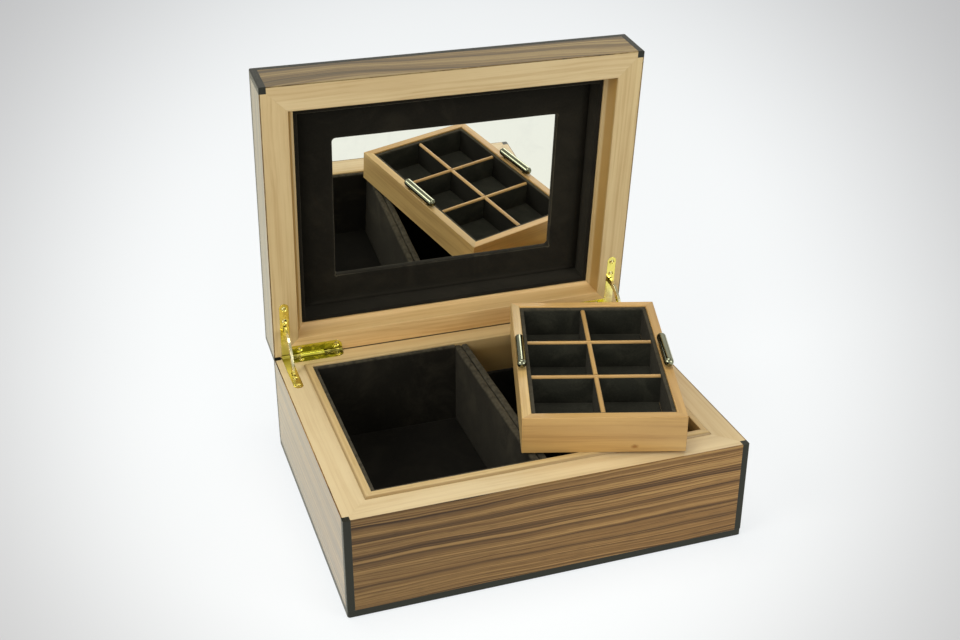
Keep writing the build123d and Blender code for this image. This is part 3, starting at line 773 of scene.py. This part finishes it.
def points_tree(name, inputs, material, draw):
    """Geometry Nodes: a piece at every point; draw returns it and how far it turns about Z."""
    tree = bpy.data.node_groups.new(name, "GeometryNodeTree")
    for label, kind in {"Points": "Geometry", **inputs, "Seed": "Int"}.items():
        socket = tree.interface.new_socket(label, in_out="INPUT", socket_type="NodeSocket" + kind)
        if kind == "Float":
            socket.subtype = "DISTANCE"
    tree.interface.new_socket("Pieces", in_out="OUTPUT", socket_type="NodeSocketGeometry")
    net = Net(tree)
    given = net.add("NodeGroupInput").outputs
    piece, turn = draw(net, given)
    copies = net.out("GeometryNodeInstanceOnPoints", {
        "Points": given["Points"], "Instance": piece, "Rotation": net.join(Z=turn)})
    real = net.out("GeometryNodeRealizeInstances", {"Geometry": copies})
    net.add("NodeGroupOutput", {"Pieces": net.out("GeometryNodeSetMaterial", {
        "Geometry": real, "Material": material})})
    return tree


def grown(name, points, tree, values):
    """The mesh that a Geometry Nodes tree grows on some points."""
    seed = bpy.data.meshes.new(name + "_points")
    seed.from_pydata([tuple(p) for p in points], [], [])
    holder = linked(name + "_points", seed)
    modifier = holder.modifiers.new("Grow", "NODES")
    modifier.node_group = tree
    for item in tree.interface.items_tree:
        if item.item_type == "SOCKET" and item.in_out == "INPUT" and item.name in values:
            modifier[item.identifier] = values[item.name]
    mesh = modified(holder)
    if not mesh.polygons:
        raise RuntimeError(name + ": the tree grew nothing")
    mesh.name = name
    return mesh


# ---- Operators ----
class DISPLAYBOX_OT_stage(bpy.types.Operator):
    """Camera, soft lamps, even sky and a pale floor"""
    bl_idname = "displaybox.stage"
    bl_label = "Stage"
    # Each lamp's power is a setting; here are its place, what it looks at and its diameter.
    lamps = {"top": ((-0.10, 0.15, 1.60), (0, 0, 0.08), 1.1),
             "key": ((-1.06, -0.40, 0.82), (0, 0, 0.08), 0.75),
             "fill": ((0.72, -1.05, 0.52), (0, 0, 0.10), 0.7)}

    def execute(self, context):
        stage, scene = context.scene.display_box_stage, context.scene
        lens = bpy.data.cameras.new("Camera")
        lens.lens, lens.sensor_width, lens.clip_start = stage.lens, 36.0, 0.02
        lens.shift_x, lens.shift_y = stage.shift_x, stage.shift_y
        scene.camera = linked("Camera", lens)
        scene.camera.location = stage.camera_at
        scene.camera.rotation_euler = Euler(stage.camera_turn)
        scene.view_settings.view_transform = "Standard"
        for name, (at, aim, size) in self.lamps.items():
            light = bpy.data.lights.new(name.capitalize() + " lamp", "AREA")
            light.shape, light.size, light.energy = "DISK", size, getattr(stage, name)
            light.color = stage.tint
            lamp = linked(light.name, light)
            lamp.location = at
            lamp.rotation_euler = (Vector(aim) - Vector(at)).to_track_quat("-Z", "Y").to_euler()
        scene.world = self.sky(stage)
        self.floor(stage)
        return {"FINISHED"}

    def sky(self, stage):
        """Pale grey to the camera; in reflections a bright band half way up, dimmer overhead."""
        world = bpy.data.worlds.new("Studio")
        net = fresh(world)
        path = net.add("ShaderNodeLightPath").outputs
        up = net.part(net.out("ShaderNodeTexCoord", key="Generated"), "Z")
        seen = net.math("MAXIMUM", path["Is Camera Ray"], path["Is Transmission Ray"])
        glossy = net.less(net.span(up, 0.05, 0.40, 0.40, 0.85), net.span(up, 0.55, 0.85, 0.0, 0.50))
        level = net.times_plus(net.less(glossy, stage.sky), path["Is Glossy Ray"], stage.sky)
        level = net.times_plus(net.less(stage.backdrop, level), seen, level)
        ground = net.out("ShaderNodeBackground", {
            "Color": net.mix(seen, stage.tint, (1.0, 1.0, 1.0)), "Strength": level})
        net.add("ShaderNodeOutputWorld", {"Surface": ground})
        return world

    def floor(self, stage):
        radius, under = 5.0, 0.2 * MM  # just under the felt
        work = bmesh.new()
        bmesh.ops.create_circle(work, cap_ends=True, segments=128, radius=radius)
        mesh = bpy.data.meshes.new("Floor")
        work.to_mesh(mesh)
        work.free()
        mesh.transform(Matrix.Translation((0, 0, -under)))
        floor = linked("Floor", mesh)
        mesh.materials.append(self.floor_material(stage))

    def floor_material(self, stage):
        """Pale in the middle of the stage; mostly its own tone to the eye and in polish."""
        material = bpy.data.materials.new("Floor")
        net = fresh(material)
        at = net.out("ShaderNodeTexCoord", key="Object")
        # A pool of light as a round beam from above the front would throw it.
        beam = Euler((math.radians(stage.pool_tilt), 0.0, math.radians(stage.pool_turn)))
        axes = beam.to_matrix().transposed()
        way = net.vector("SUBTRACT", at, stage.pool_from)
        across, up, ahead = [net.vector("DOT_PRODUCT", way, axis)
                             for axis in (axes[0], axes[1], -axes[2])]
        ahead = net.math("MAXIMUM", ahead, 0.2)
        away = net.vector("LENGTH", net.join(X=net.math("DIVIDE", across, ahead),
                                             Y=net.math("DIVIDE", up, ahead)))
        shade = net.mix(net.span(away, stage.pool_full, stage.pool_end), stage.floor_light,
                        stage.floor_edge)
        path = net.add("ShaderNodeLightPath").outputs
        polish = net.mix(net.span(net.part(at, "Y"), -0.3, 0.3), stage.floor_mirrored,
                         stage.floor_behind)
        shade = net.mix(path["Is Glossy Ray"], shade, polish)
        seen = net.math("MAXIMUM", path["Is Camera Ray"], path["Is Glossy Ray"])
        seen = net.math("MAXIMUM", seen, path["Is Transmission Ray"])
        both = net.out("ShaderNodeMixShader", {
            "Fac": net.times(seen, stage.floor_own),
            1: net.out("ShaderNodeBsdfDiffuse", {"Color": shade}),
            2: net.out("ShaderNodeEmission", {"Color": shade, "Strength": stage.floor_glow})})
        net.add("ShaderNodeOutputMaterial", {"Surface": both})
        return material


class DISPLAYBOX_OT_boards(bpy.types.Operator):
    """Pale boards of the base, lid and tray, and the lining boards of the lip"""
    bl_idname = "displaybox.boards"
    bl_label = "Boards"
    # Boards toned apart from the rest. Most are cut from stock of another tone; the tray's back
    # wall is made paler as painted light, its left wall paler partly as painted light, and the
    # base's right wall darker as painted shade.
    tones_and_light = {"base_wall_right": (0.93, 0.90, 0.84), "base_wall_back": (1.0, 0.96, 0.84),
              "lid_rail_front": (1.02, 1.0, 0.94), "lid_rail_left": (0.97, 0.93, 0.83),
              "lid_rail_right": (1.02, 1.0, 0.90), "lid_rail_back": (1.20, 1.06, 0.86),
              "tray_wall_back": (1.25, 1.25, 1.3), "tray_wall_left": (1.15, 1.3, 1.5)}

    def board(self, node, axes, shades, shift, **looks):
        """Dresses a board in the tones given for it, painted light and shade among them."""
        light, dark = [toned(shade, self.tones_and_light.get(node, 1.0)) for shade in shades]
        clad(node, board_material, axes, light, dark, shift, **looks)

    def execute(self, context):
        tones, size = colours(), sizes()
        pale = (tones.board_light, tones.board_dark)
        lip = (tones.lip_light, tones.lip_dark)
        tray = (tones.tray_light, tones.tray_dark)
        middle = Matrix.Rotation(-size.tray_turn, 4, "Z") @ Vector(size.tray_place)
        # Where the knot lies along the front board and up it; how deep it goes doesn't count.
        knot = (middle.x + 20.4 * MM, size.tray_place[2] + 4.0 * MM, 0.0)
        for index, side in enumerate(SIDES):
            along_x, step = side in ("front", "back"), 0.37 * (index + 1)
            axes, seam = "xyz" if along_x else "yxz", side == "back"
            self.board("base_wall_" + side, axes, pale, (step, 0.1, step), figure=0.28,
                       lines=0.32, pores=0.14, seam=seam)
            groove = max(abs(corner["xyz".index(axes[1])])
                         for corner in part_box("base_lip_" + side))
            self.board("base_lip_" + side, axes, lip, (1.3 + step, 0.4, step), figure=0.4,
                       groove=groove)
            self.board("lid_rail_" + side, axes, pale, (2.1 + step, 0.7, step), figure=0.40,
                       lines=0.55, cove=0.45 if seam else 0.95, seam=seam)
            front = side == "front"
            self.board("tray_wall_" + side, "xzy" if along_x else "yzx", tray,
                       (0.0, 0.0, 0.0) if front else (3.2 + step, 0.2, step), figure=0.50,
                       lines=0.62, knot=knot if front else None)
        self.board("tray_divider_long", "yxz", tray, (0.4, 0.9, 0.3))
        for end in ("front", "back"):
            self.board("tray_divider_cross_" + end, "xyz", tray, (0.8, 0.5, 0.1))
        plain = board_material("Floor board", "base", "xyz", *lip, (5.0, 1.0, 0.0), coat=0.0)
        for node in ("base_floor_panel", "lid_panel", "tray_bottom"):
            dress(node, plain)
        return {"FINISHED"}


class DISPLAYBOX_OT_veneers(bpy.types.Operator):
    """Striped veneer on the base and lid, its stripes running lengthwise"""
    bl_idname = "displaybox.veneers"
    bl_label = "Veneers"

    def execute(self, context):
        bold = {"density": 0.7, "rings": 90.0, "flow": 9.0}
        lit = {"sway": 0.12, "tone": (0.91, 1.13, 1.44), "coat": 0.6, "satin": 0.32, "fade": 0.15}
        olive = (0.76, 0.88, 1.10)
        for index, side in enumerate(SIDES):
            axes = "xzy" if side in ("front", "back") else "yzx"
            step, front = 0.53 * index, side == "front"
            clad("base_veneer_" + side, veneer_material, axes, (step, 0.31 + step, 0.0),
                 fade=0.24 if front else 0.0)
            clad("lid_veneer_" + side, veneer_material, axes, (step + 4.0, 0.9 + step, 0.0),
                 **bold, **(lit if front else {"sway": 0.07, "tone": olive}))
        clad("lid_top_veneer", veneer_material, "xyz", (1.7, 2.3, 0.0), sway=0.06, tone=olive,
             **bold)
        return {"FINISHED"}


class DISPLAYBOX_OT_edging(bpy.types.Operator):
    """Black edging strips at the corners, the foot and the lid's top"""
    bl_idname = "displaybox.edging"
    bl_label = "Edging"

    def execute(self, context):
        black = edging_material()
        for strip in ("base_corner", "base_foot", "lid_corner", "lid_top"):
            dress(strip + "_edging", black)
        return {"FINISHED"}


def screw_tops(body):
    """The frame that a body's screws stand upright in, and the middles of their heads."""
    over = Matrix.Rotation(math.pi, 4, "X")
    at = lid_place() @ over if body == "lid" else Matrix.Identity(4)
    return at, [Vector(((low.x + high.x) / 2, (low.y + high.y) / 2, high.z))
                for low, high in solids_of("hinge_" + body + "_screws", at.inverted())]


def drilled_leaf(node, body, material):
    """A leaf of the hinge with its countersinks open at its face, so that the screws show."""
    at, tops = screw_tops(body)
    radius, depth, rise = sizes().countersink, 0.5 * MM, 0.28 * MM
    leaf, cutter = [linked(node + part, bpy.data.meshes.new(node + part))
                    for part in ("_drilled", "_cutter")]
    work = merged(node)
    work.transform(at.inverted())
    work.to_mesh(leaf.data)
    work.clear()
    for top in tops:
        bmesh.ops.create_cone(work, cap_ends=True, segments=48, radius1=radius, radius2=radius,
                              depth=depth,
                              matrix=Matrix.Translation(top + Vector((0, 0, rise))))
    work.to_mesh(cutter.data)
    work.free()
    cut = leaf.modifiers.new("Drill", "BOOLEAN")
    cut.operation, cut.solver, cut.object = "DIFFERENCE", "EXACT", cutter
    mesh = modified(leaf)
    bpy.data.objects.remove(cutter)
    for name in [entry.name for entry in mesh.attributes if "normal" in entry.name]:
        mesh.attributes.remove(mesh.attributes[name])
    mesh.transform(at)
    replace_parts(add_piece(node + "_drilled", mesh, material, body, 30.0), node)


class DISPLAYBOX_OT_metalwork(bpy.types.Operator):
    """Polished brass hinges and stays, and the gunmetal handle bars"""
    bl_idname = "displaybox.metalwork"
    bl_label = "Metalwork"

    def execute(self, context):
        tones = colours()
        # The leaves' legs get a painted reflection at the back, and by the pin painted shade on the
        # base's leaves and a painted highlight on the lid's.
        leaves = {"base": metal_material("Brass of the base leaves",
                                         toned(tones.brass, (0.92, 0.90, 0.9)), 0.11, 0.07, 0.45,
                                         back_leg_reflection=toned(tones.back_leg_reflection, (0.8, 0.75, 1.0)),
                                         pin_light_and_shade=toned(tones.back_leg_reflection, (1.3, 1.2, 1.0))),
                  "lid": metal_material("Brass of the lid leaves", tones.brass, 0.11, 0.07, 0.45,
                                        back_leg_reflection=toned(tones.back_leg_reflection, (2.6, 2.65, 2.6)),
                                        pin_light_and_shade=tones.brass_rubbed)}
        rubbed = metal_material("Rubbed brass", tones.brass_rubbed, 0.13, 0.06, 0.35)
        dark = metal_material("Gunmetal", tones.gunmetal, 0.10, 0.10, 0.10)
        for side in ("left", "right"):
            for body, leaf in leaves.items():
                drilled_leaf("hinge_" + body + "_leaf_" + side, body, leaf)
            dress("stay_" + side, rubbed)
            dress("tray_handle_" + side, dark)
        dress("hinge_pins", leaves["base"])
        return {"FINISHED"}


class DISPLAYBOX_OT_mirror(bpy.types.Operator):
    """Silvered mirror in the lid"""
    bl_idname = "displaybox.mirror"
    bl_label = "Mirror"

    def execute(self, context):
        dress("mirror_glass", mirror_material())
        return {"FINISHED"}


class DISPLAYBOX_OT_screws(bpy.types.Operator):
    """Slotted brass screws in the hinge leaves"""
    bl_idname = "displaybox.screws"
    bl_label = "Screws"

    def execute(self, context):
        size = sizes()
        brass = metal_material("Brass screws", toned(colours().brass_rubbed, (1.0, 0.97, 0.75)),
                               0.12, 0.06, 0.10, 0.2 * MM)
        values = {"Head Radius": size.screw_head, "Shank Radius": size.screw_shank,
                  "Length": (size.screw_length - size.screw_dome - size.screw_head
                             + size.screw_shank),
                  "Slot Width": size.slot_width, "Dome": size.screw_dome}
        tree = points_tree("Countersunk screws", dict.fromkeys(values, "Float"), brass, self.screw)
        values["Seed"] = size.screw_seed
        for body in ("base", "lid"):
            at, tops = screw_tops(body)
            sunk = [top - Vector((0, 0, size.screw_dome)) for top in tops]
            mesh = grown(body + "_screws", sunk, tree, values)
            mesh.transform(at)
            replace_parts(add_piece(body + "_screws", mesh, brass, body, 30.0),
                        "hinge_" + body + "_screws")
        return {"FINISHED"}

    @staticmethod
    def screw(net, given):
        """A slotted countersunk screw, its head's rim at z = 0, each turned its own way."""
        head, shank, long = given["Head Radius"], given["Shank Radius"], given["Length"]
        sink = net.less(head, shank)
        cone = net.out("GeometryNodeMeshCone", {
            "Vertices": 28, "Fill Segments": 5, "Radius Top": head, "Radius Bottom": shank,
            "Depth": sink}, "Mesh")
        at = net.add("ShaderNodeSeparateXYZ",
                     {"Vector": net.out("GeometryNodeInputPosition")}).outputs
        out = net.math("ADD", net.math("POWER", at["X"], 2.0), net.math("POWER", at["Y"], 2.0))
        share = net.less(1.0, net.math("DIVIDE", out, net.math("POWER", head, 2.0)))
        cone = net.out("GeometryNodeSetPosition", {
            "Geometry": cone, "Offset": net.join(Z=net.times(share, given["Dome"])),
            "Selection": net.math("GREATER_THAN", at["Z"], net.times(sink, 0.9))})
        cone = net.out("GeometryNodeTransform", {
            "Geometry": cone, "Translation": net.join(Z=net.times(sink, -1.0))})
        stem = net.out("GeometryNodeMeshCylinder", {"Vertices": 20, "Radius": shank,
                                                    "Depth": long}, "Mesh")
        stem = net.out("GeometryNodeTransform", {
            "Geometry": stem,
            "Translation": net.join(Z=net.times_plus(long, -0.5, net.times(sink, -0.5)))})
        slot = net.out("GeometryNodeMeshCube", {"Size": net.join(
            X=net.times(head, 3.0), Y=given["Slot Width"], Z=net.times(sink, 1.4))}, "Mesh")
        cut = net.out("GeometryNodeMeshBoolean", {0: cone, 1: slot}, operation="DIFFERENCE")
        joined = net.add("GeometryNodeJoinGeometry", {0: cut})
        net.put(joined.inputs[0], stem)
        turn = net.out("FunctionNodeRandomValue", {3: 3.1416, "Seed": given["Seed"]}, 1,
                       data_type="FLOAT")
        return joined.outputs[0], turn


class DISPLAYBOX_OT_compartments(bpy.types.Operator):
    """Suede linings and floor pads of the two compartments"""
    bl_idname = "displaybox.compartments"
    bl_label = "Compartments"

    def execute(self, context):
        size = sizes()
        suede = suede_material("Compartment suede", 26.0, 0.62, 1.15, 0.18,
                               rub_and_highlight_height=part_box("left_lining")[1].z)
        # Painted shade: the floors are the same suede, made darker.
        floor_suede = suede_material("Floor suede", 34.0, 0.30, 0.50, 0.05)
        self.left_lining(size, suede)
        for side in ("left", "right"):
            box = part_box(side + "_floor_pad")
            shape = pad_shape(box, box[0].z, size.floor_pad, size.crown, 2.0)
            soft_piece(side + "_floor_suede", side + "_floor_pad", shape, floor_suede)
        soft_piece("right_lining_suede", "right_lining",
                   lining_shape(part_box("right_lining"), size.lining_round, 5.0), suede)
        return {"FINISHED"}

    def left_lining(self, size, suede):
        """A lining that wraps three walls and ends against the divider."""
        low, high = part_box("left_lining")
        soft, top, run = size.lining_round, high.z, 28
        section = [(size.lining, low.z + k * (top - low.z)) for k in (0.2, 0.4, 0.6, 0.8)]
        section = [(0.0, low.z), (size.lining, low.z), *section]
        section += quarter((size.lining - soft, top - soft), soft, 0)
        section += [(0.4 * MM, top - 0.05 * MM), (0.0, top - 0.4 * MM)]
        rows = []
        for inset, z in section:
            corners = [Vector((high.x, low.y + inset)), Vector((low.x + inset, low.y + inset)),
                       Vector((low.x + inset, high.y - inset)), Vector((high.x, high.y - inset))]
            row = [a.lerp(b, k / run) for a, b in zip(corners, corners[1:]) for k in range(run)]
            rows.append([uneven((p.x, p.y, z), size.ripple, 1.0) for p in row + [corners[-1]]])
        soft_piece("left_lining_suede", "left_lining", skin(rows, tube=True, ends=True), suede)


class DISPLAYBOX_OT_divider(bpy.types.Operator):
    """Two suede-covered boards back to back, a groove along their rounded tops"""
    bl_idname = "displaybox.divider"
    bl_label = "Divider"

    def execute(self, context):
        size = sizes()
        suede = suede_material("Divider suede", 30.0, 0.80, 0.95, 0.14,
                               deep=(12.0 * MM, 58.0 * MM),
                               rub_and_highlight_height=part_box("divider_board_left")[1].z)
        near, far, soft, steps = 0.15 * MM, size.divider, 1.9 * MM, 60
        for side, sign in (("left", -1), ("right", 1)):
            node = "divider_board_" + side
            low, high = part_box(node)
            section = [(far, low.z + k * (high.z - low.z)) for k in (0.2, 0.4, 0.6, 0.8)]
            section = [(near, low.z), (far, low.z), *section]
            section += quarter((far - soft, high.z - soft), soft, 0, 6)
            section += quarter((near + soft, high.z - soft), soft, 90, 6)
            rows = []
            for step in range(steps + 1):
                y = low.y + (high.y - low.y) * step / steps
                rows.append([uneven((sign * x, y, z), 1.3 * size.ripple, 4.0 + sign)
                             for x, z in section])
            soft_piece(node + "_suede", node, skin(rows), suede)
        return {"FINISHED"}


class DISPLAYBOX_OT_lid_suede(bpy.types.Operator):
    """Suede strip inside the lid and the padded frame round the mirror"""
    bl_idname = "displaybox.lid_suede"
    bl_label = "Lid suede"

    def execute(self, context):
        size, at = sizes(), lid_place()
        suede = suede_material("Mirror frame suede", 20.0, 0.35, 1.02, 0.26)
        box = own_box("lid_lining", at)
        (low, high), soft, arris = box, 1.2 * MM, 0.4 * MM
        section = [(0.0, high.z), (0.0, low.z + arris), (arris, low.z)]
        section += quarter((size.lining - soft, low.z + soft), soft, 270)
        section += [(size.lining, (low.z + high.z) / 2), (size.lining, high.z)]
        soft_piece("lid_lining_suede", "lid_lining",
                   skin(ring_rows(box, section, 8.0, True), tube=True), suede, at=at)
        self.mirror_frame(size, suede, at)
        return {"FINISHED"}

    def mirror_frame(self, size, suede, at):
        """Bevelled outside, gently crowned face, round-cornered window."""
        box, glass = own_box("mirror_surround", at), own_box("mirror_glass", at)
        half, face, tall = (box[1] - box[0]) / 2, box[0].z, box[1].z - box[0].z
        lap = half.x - (glass[1].x - glass[0].x) / 2
        window, corner, behind = lap + 3.95 * MM, size.window_round, glass[0].z - face
        # Each point is its inset from the outside, its height behind the face and how much of
        # the window's corner radius it has. First the foot and the bevel, then the crowned
        # face, the rounded edge of the window and the back.
        shape = [(0.0, tall, 0.0), (0.0, tall - 1.1 * MM, 0.0), (0.3 * MM, tall - 1.9 * MM, 0.0)]
        shape += [(i * MM, k * tall, 0.0) for i, k in
                  ((1.4, 0.66), (3.8, 0.40), (6.6, 0.18), (8.8, 0.07), (10.6, 0.03))]
        shape += [(13.0 * MM, 0.08 * MM, 0.2), (17.0 * MM, 0.0, 0.5), (21.0 * MM, 0.05 * MM, 0.8)]
        shape += [(window - i * MM, z * MM, 1.0) for i, z in
                  ((2.7, 0.12), (1.4, 0.3), (0.6, 0.7), (0.15, 1.3), (0.0, 2.0))]
        shape += [(window, behind, 1.0), (lap, behind, 1.0), (lap, tall, 1.0)]
        rows = ring_rows(box, [(i, face + z, k * corner) for i, z, k in shape], 9.0, True, run=34)
        piece = soft_piece("mirror_frame_suede", "mirror_surround", skin(rows, tube=True), suede,
                           at=at, crease=50.0)
        # The rounded edge of the window is paler than the rest: partly rubbed nap, partly a painted
        # highlight.
        piece.data.materials.append(suede_material("Window edge suede", 20.0, 0.9, 2.2, 0.26))
        home, nearest, furthest, deepest = at.inverted(), 0.9 * MM, 0.1 * MM, 1.6 * MM
        for polygon in piece.data.polygons:
            place = home @ polygon.center
            inset = min(half.x - abs(place.x), half.y - abs(place.y))
            rounded = window - nearest < inset < window + furthest
            if rounded and place.z < face + deepest:
                polygon.material_index = 1


class DISPLAYBOX_OT_tray_suede(bpy.types.Operator):
    """Suede lining, cell pads and divider facings of the tray"""
    bl_idname = "displaybox.tray_suede"
    bl_label = "Tray suede"

    def execute(self, context):
        size, at, cast = sizes(), tray_place(), (0.97, 1.10, 1.14)
        # Painted light: the tray's suede is made far paler than the box's, against the shade in its
        # cells.
        suede = suede_material("Tray suede", 40.0, 0.28, toned(cast, 2.7), 0.12,
                               rub_and_highlight_height=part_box("tray_lining")[1].z, shaded_facing=(-1.0, 0.0, 0.0))
        soft_piece("tray_lining_suede", "tray_lining",
                   lining_shape(own_box("tray_lining", at), 1.1 * MM, 6.0, True), suede, at=at)
        floor = own_box("tray_floor_pad", at)
        strip, front, back = [own_box("tray_divider_" + n, at)
                              for n in ("long", "cross_front", "cross_back")]
        # Each cell is its centre and half its size.
        marks = [floor[0].y, front[0].y, front[1].y, back[0].y, back[1].y, floor[1].y]
        wide = (floor[1].x - strip[1].x) / 2
        cells = [(sign * (strip[1].x + wide), (a + b) / 2, wide, (b - a) / 2)
                 for sign in (-1, 1) for a, b in zip(marks[0::2], marks[1::2])]
        # Painted light: the pads are made paler as well.
        pad = suede_material("Cell pad suede", 40.0, 0.25, toned(cast, 2.0), 0.16)
        self.pads(size, pad, at, cells, floor)
        self.facings(size, suede, at, cells, (floor[0].z, strip[1].z), (front[0].y, back[1].y))
        return {"FINISHED"}

    def pads(self, size, suede, at, cells, floor):
        """One crowned pad, repeated over the cells."""
        play, crown = 0.15 * MM, 0.5 * MM
        corner = Vector((min(c[2] for c in cells) - play, min(c[3] for c in cells) - play, 0.0))
        shape = pad_shape((-corner, corner), 0.0, floor[1].z - floor[0].z, crown, 1.0, True)
        single = linked("cell_pad", clean_mesh("cell_pad", shape))
        tree = points_tree("Cell pads", {"Pad": "Object"}, suede, self.pad)
        mesh = grown("tray_cell_pads", [(c[0], c[1], floor[0].z) for c in cells], tree,
                     {"Pad": single, "Seed": size.cell_seed})
        bpy.data.objects.remove(single)
        mesh.transform(at)
        piece = add_piece("tray_cell_pads", mesh, suede, "tray")
        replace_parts(piece, "tray_floor_pad")

    @staticmethod
    def pad(net, given):
        """The pad, in some cells turned end for end."""
        half = net.out("FunctionNodeRandomValue", {4: 0, 5: 1, "Seed": given["Seed"]}, 2,
                       data_type="INT")
        return (net.out("GeometryNodeObjectInfo", {"Object": given["Pad"]}, "Geometry"),
                net.times(half, math.pi))

    def facings(self, size, suede, at, cells, heights, ends):
        """Thin suede on both sides of every divider, short of its rounded wooden top."""
        bare, tuck, ripple, steps = 1.5 * MM, 0.02 * MM, 0.04 * MM, 14
        away, foot, top = size.facing, heights[0], heights[1] - bare
        section = [(-tuck, foot), (away, foot), (away, top - 0.3 * MM),
                   (0.7 * away, top - 0.08 * MM), (0.2 * away, top), (-tuck, top)]
        verts, faces = [], []
        for x, y, wide, deep in cells:
            edge = 1 if x < 0 else -1
            runs = [((x + edge * wide, y - deep), (x + edge * wide, y + deep), (-edge, 0))]
            if y > ends[0]:
                runs.append(((x - wide, y - deep), (x + wide, y - deep), (0, 1)))
            if y < ends[1]:
                runs.append(((x - wide, y + deep), (x + wide, y + deep), (0, -1)))
            for start, end, out in runs:
                rows = []
                for step in range(steps + 1):
                    k = step / steps
                    px, py = [a + k * (b - a) for a, b in zip(start, end)]
                    rows.append([uneven((px + o * out[0], py + o * out[1], z), ripple)
                                 for o, z in section])
                more, loops = skin(rows)
                faces += [tuple(i + len(verts) for i in loop) for loop in loops]
                verts += more
        make_piece("tray_divider_suede", (verts, faces), suede, "tray", at)


class DISPLAYBOX_OT_base_felt(bpy.types.Operator):
    """Felt glued under the base"""
    bl_idname = "displaybox.base_felt"
    bl_label = "Base felt"

    def execute(self, context):
        low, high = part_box("base_felt")
        half, thick, corner = (high - low) / 2, high.z - low.z, 2.0 * MM
        section = [(0.5 * MM, high.z), (0.0, high.z - 0.2 * thick), (0.0, low.z + 0.35 * thick),
                   (0.25 * MM, low.z + 0.1 * thick), (0.8 * MM, low.z), (6.0 * MM, low.z)]
        rows = ring_rows((low, high), [(*point, corner) for point in section], 0.0, run=30,
                         ripple=0.0)
        felt = make_piece("base_felt_sheet", skin(rows), felt_material(), "base")
        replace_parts(felt, "base_felt")
        return {"FINISHED"}


class DISPLAYBOX_PT_panel(bpy.types.Panel):
    """The box's pieces, one button each"""
    bl_idname = "DISPLAYBOX_PT_panel"
    bl_label = "Display Box"
    bl_space_type = "VIEW_3D"
    bl_region_type = "UI"
    bl_category = "Display Box"

    def draw(self, context):
        for operator in OPERATORS:
            self.layout.operator(operator.bl_idname)
        for key, _ in GROUPS:
            group, column = getattr(context.scene, key), self.layout.column()
            for setting in group.__annotations__:
                column.prop(group, setting)


OPERATORS = (DISPLAYBOX_OT_stage, DISPLAYBOX_OT_boards, DISPLAYBOX_OT_veneers,
             DISPLAYBOX_OT_edging, DISPLAYBOX_OT_metalwork, DISPLAYBOX_OT_mirror,
             DISPLAYBOX_OT_screws, DISPLAYBOX_OT_compartments, DISPLAYBOX_OT_divider,
             DISPLAYBOX_OT_lid_suede, DISPLAYBOX_OT_tray_suede, DISPLAYBOX_OT_base_felt)
GROUPS = (("display_box_sizes", DISPLAYBOX_PG_sizes),
          ("display_box_colours", DISPLAYBOX_PG_colours),
          ("display_box_stage", DISPLAYBOX_PG_stage))


def register():
    noise.seed_set(NOISE_SEED)  # without a seed the noise differs from run to run
    for key, group in GROUPS:
        bpy.utils.register_class(group)
        setattr(bpy.types.Scene, key, PointerProperty(type=group))
    for item in (*OPERATORS, DISPLAYBOX_PT_panel):
        bpy.utils.register_class(item)


def unregister():
    for item in reversed((*OPERATORS, DISPLAYBOX_PT_panel)):
        bpy.utils.unregister_class(item)
    for key, group in reversed(GROUPS):
        delattr(bpy.types.Scene, key)
        bpy.utils.unregister_class(group)


def main():
    register()
    for operator in OPERATORS:
        family, action = operator.bl_idname.split(".")
        getattr(getattr(bpy.ops, family), action)()


if __name__ == "__main__":
    main()
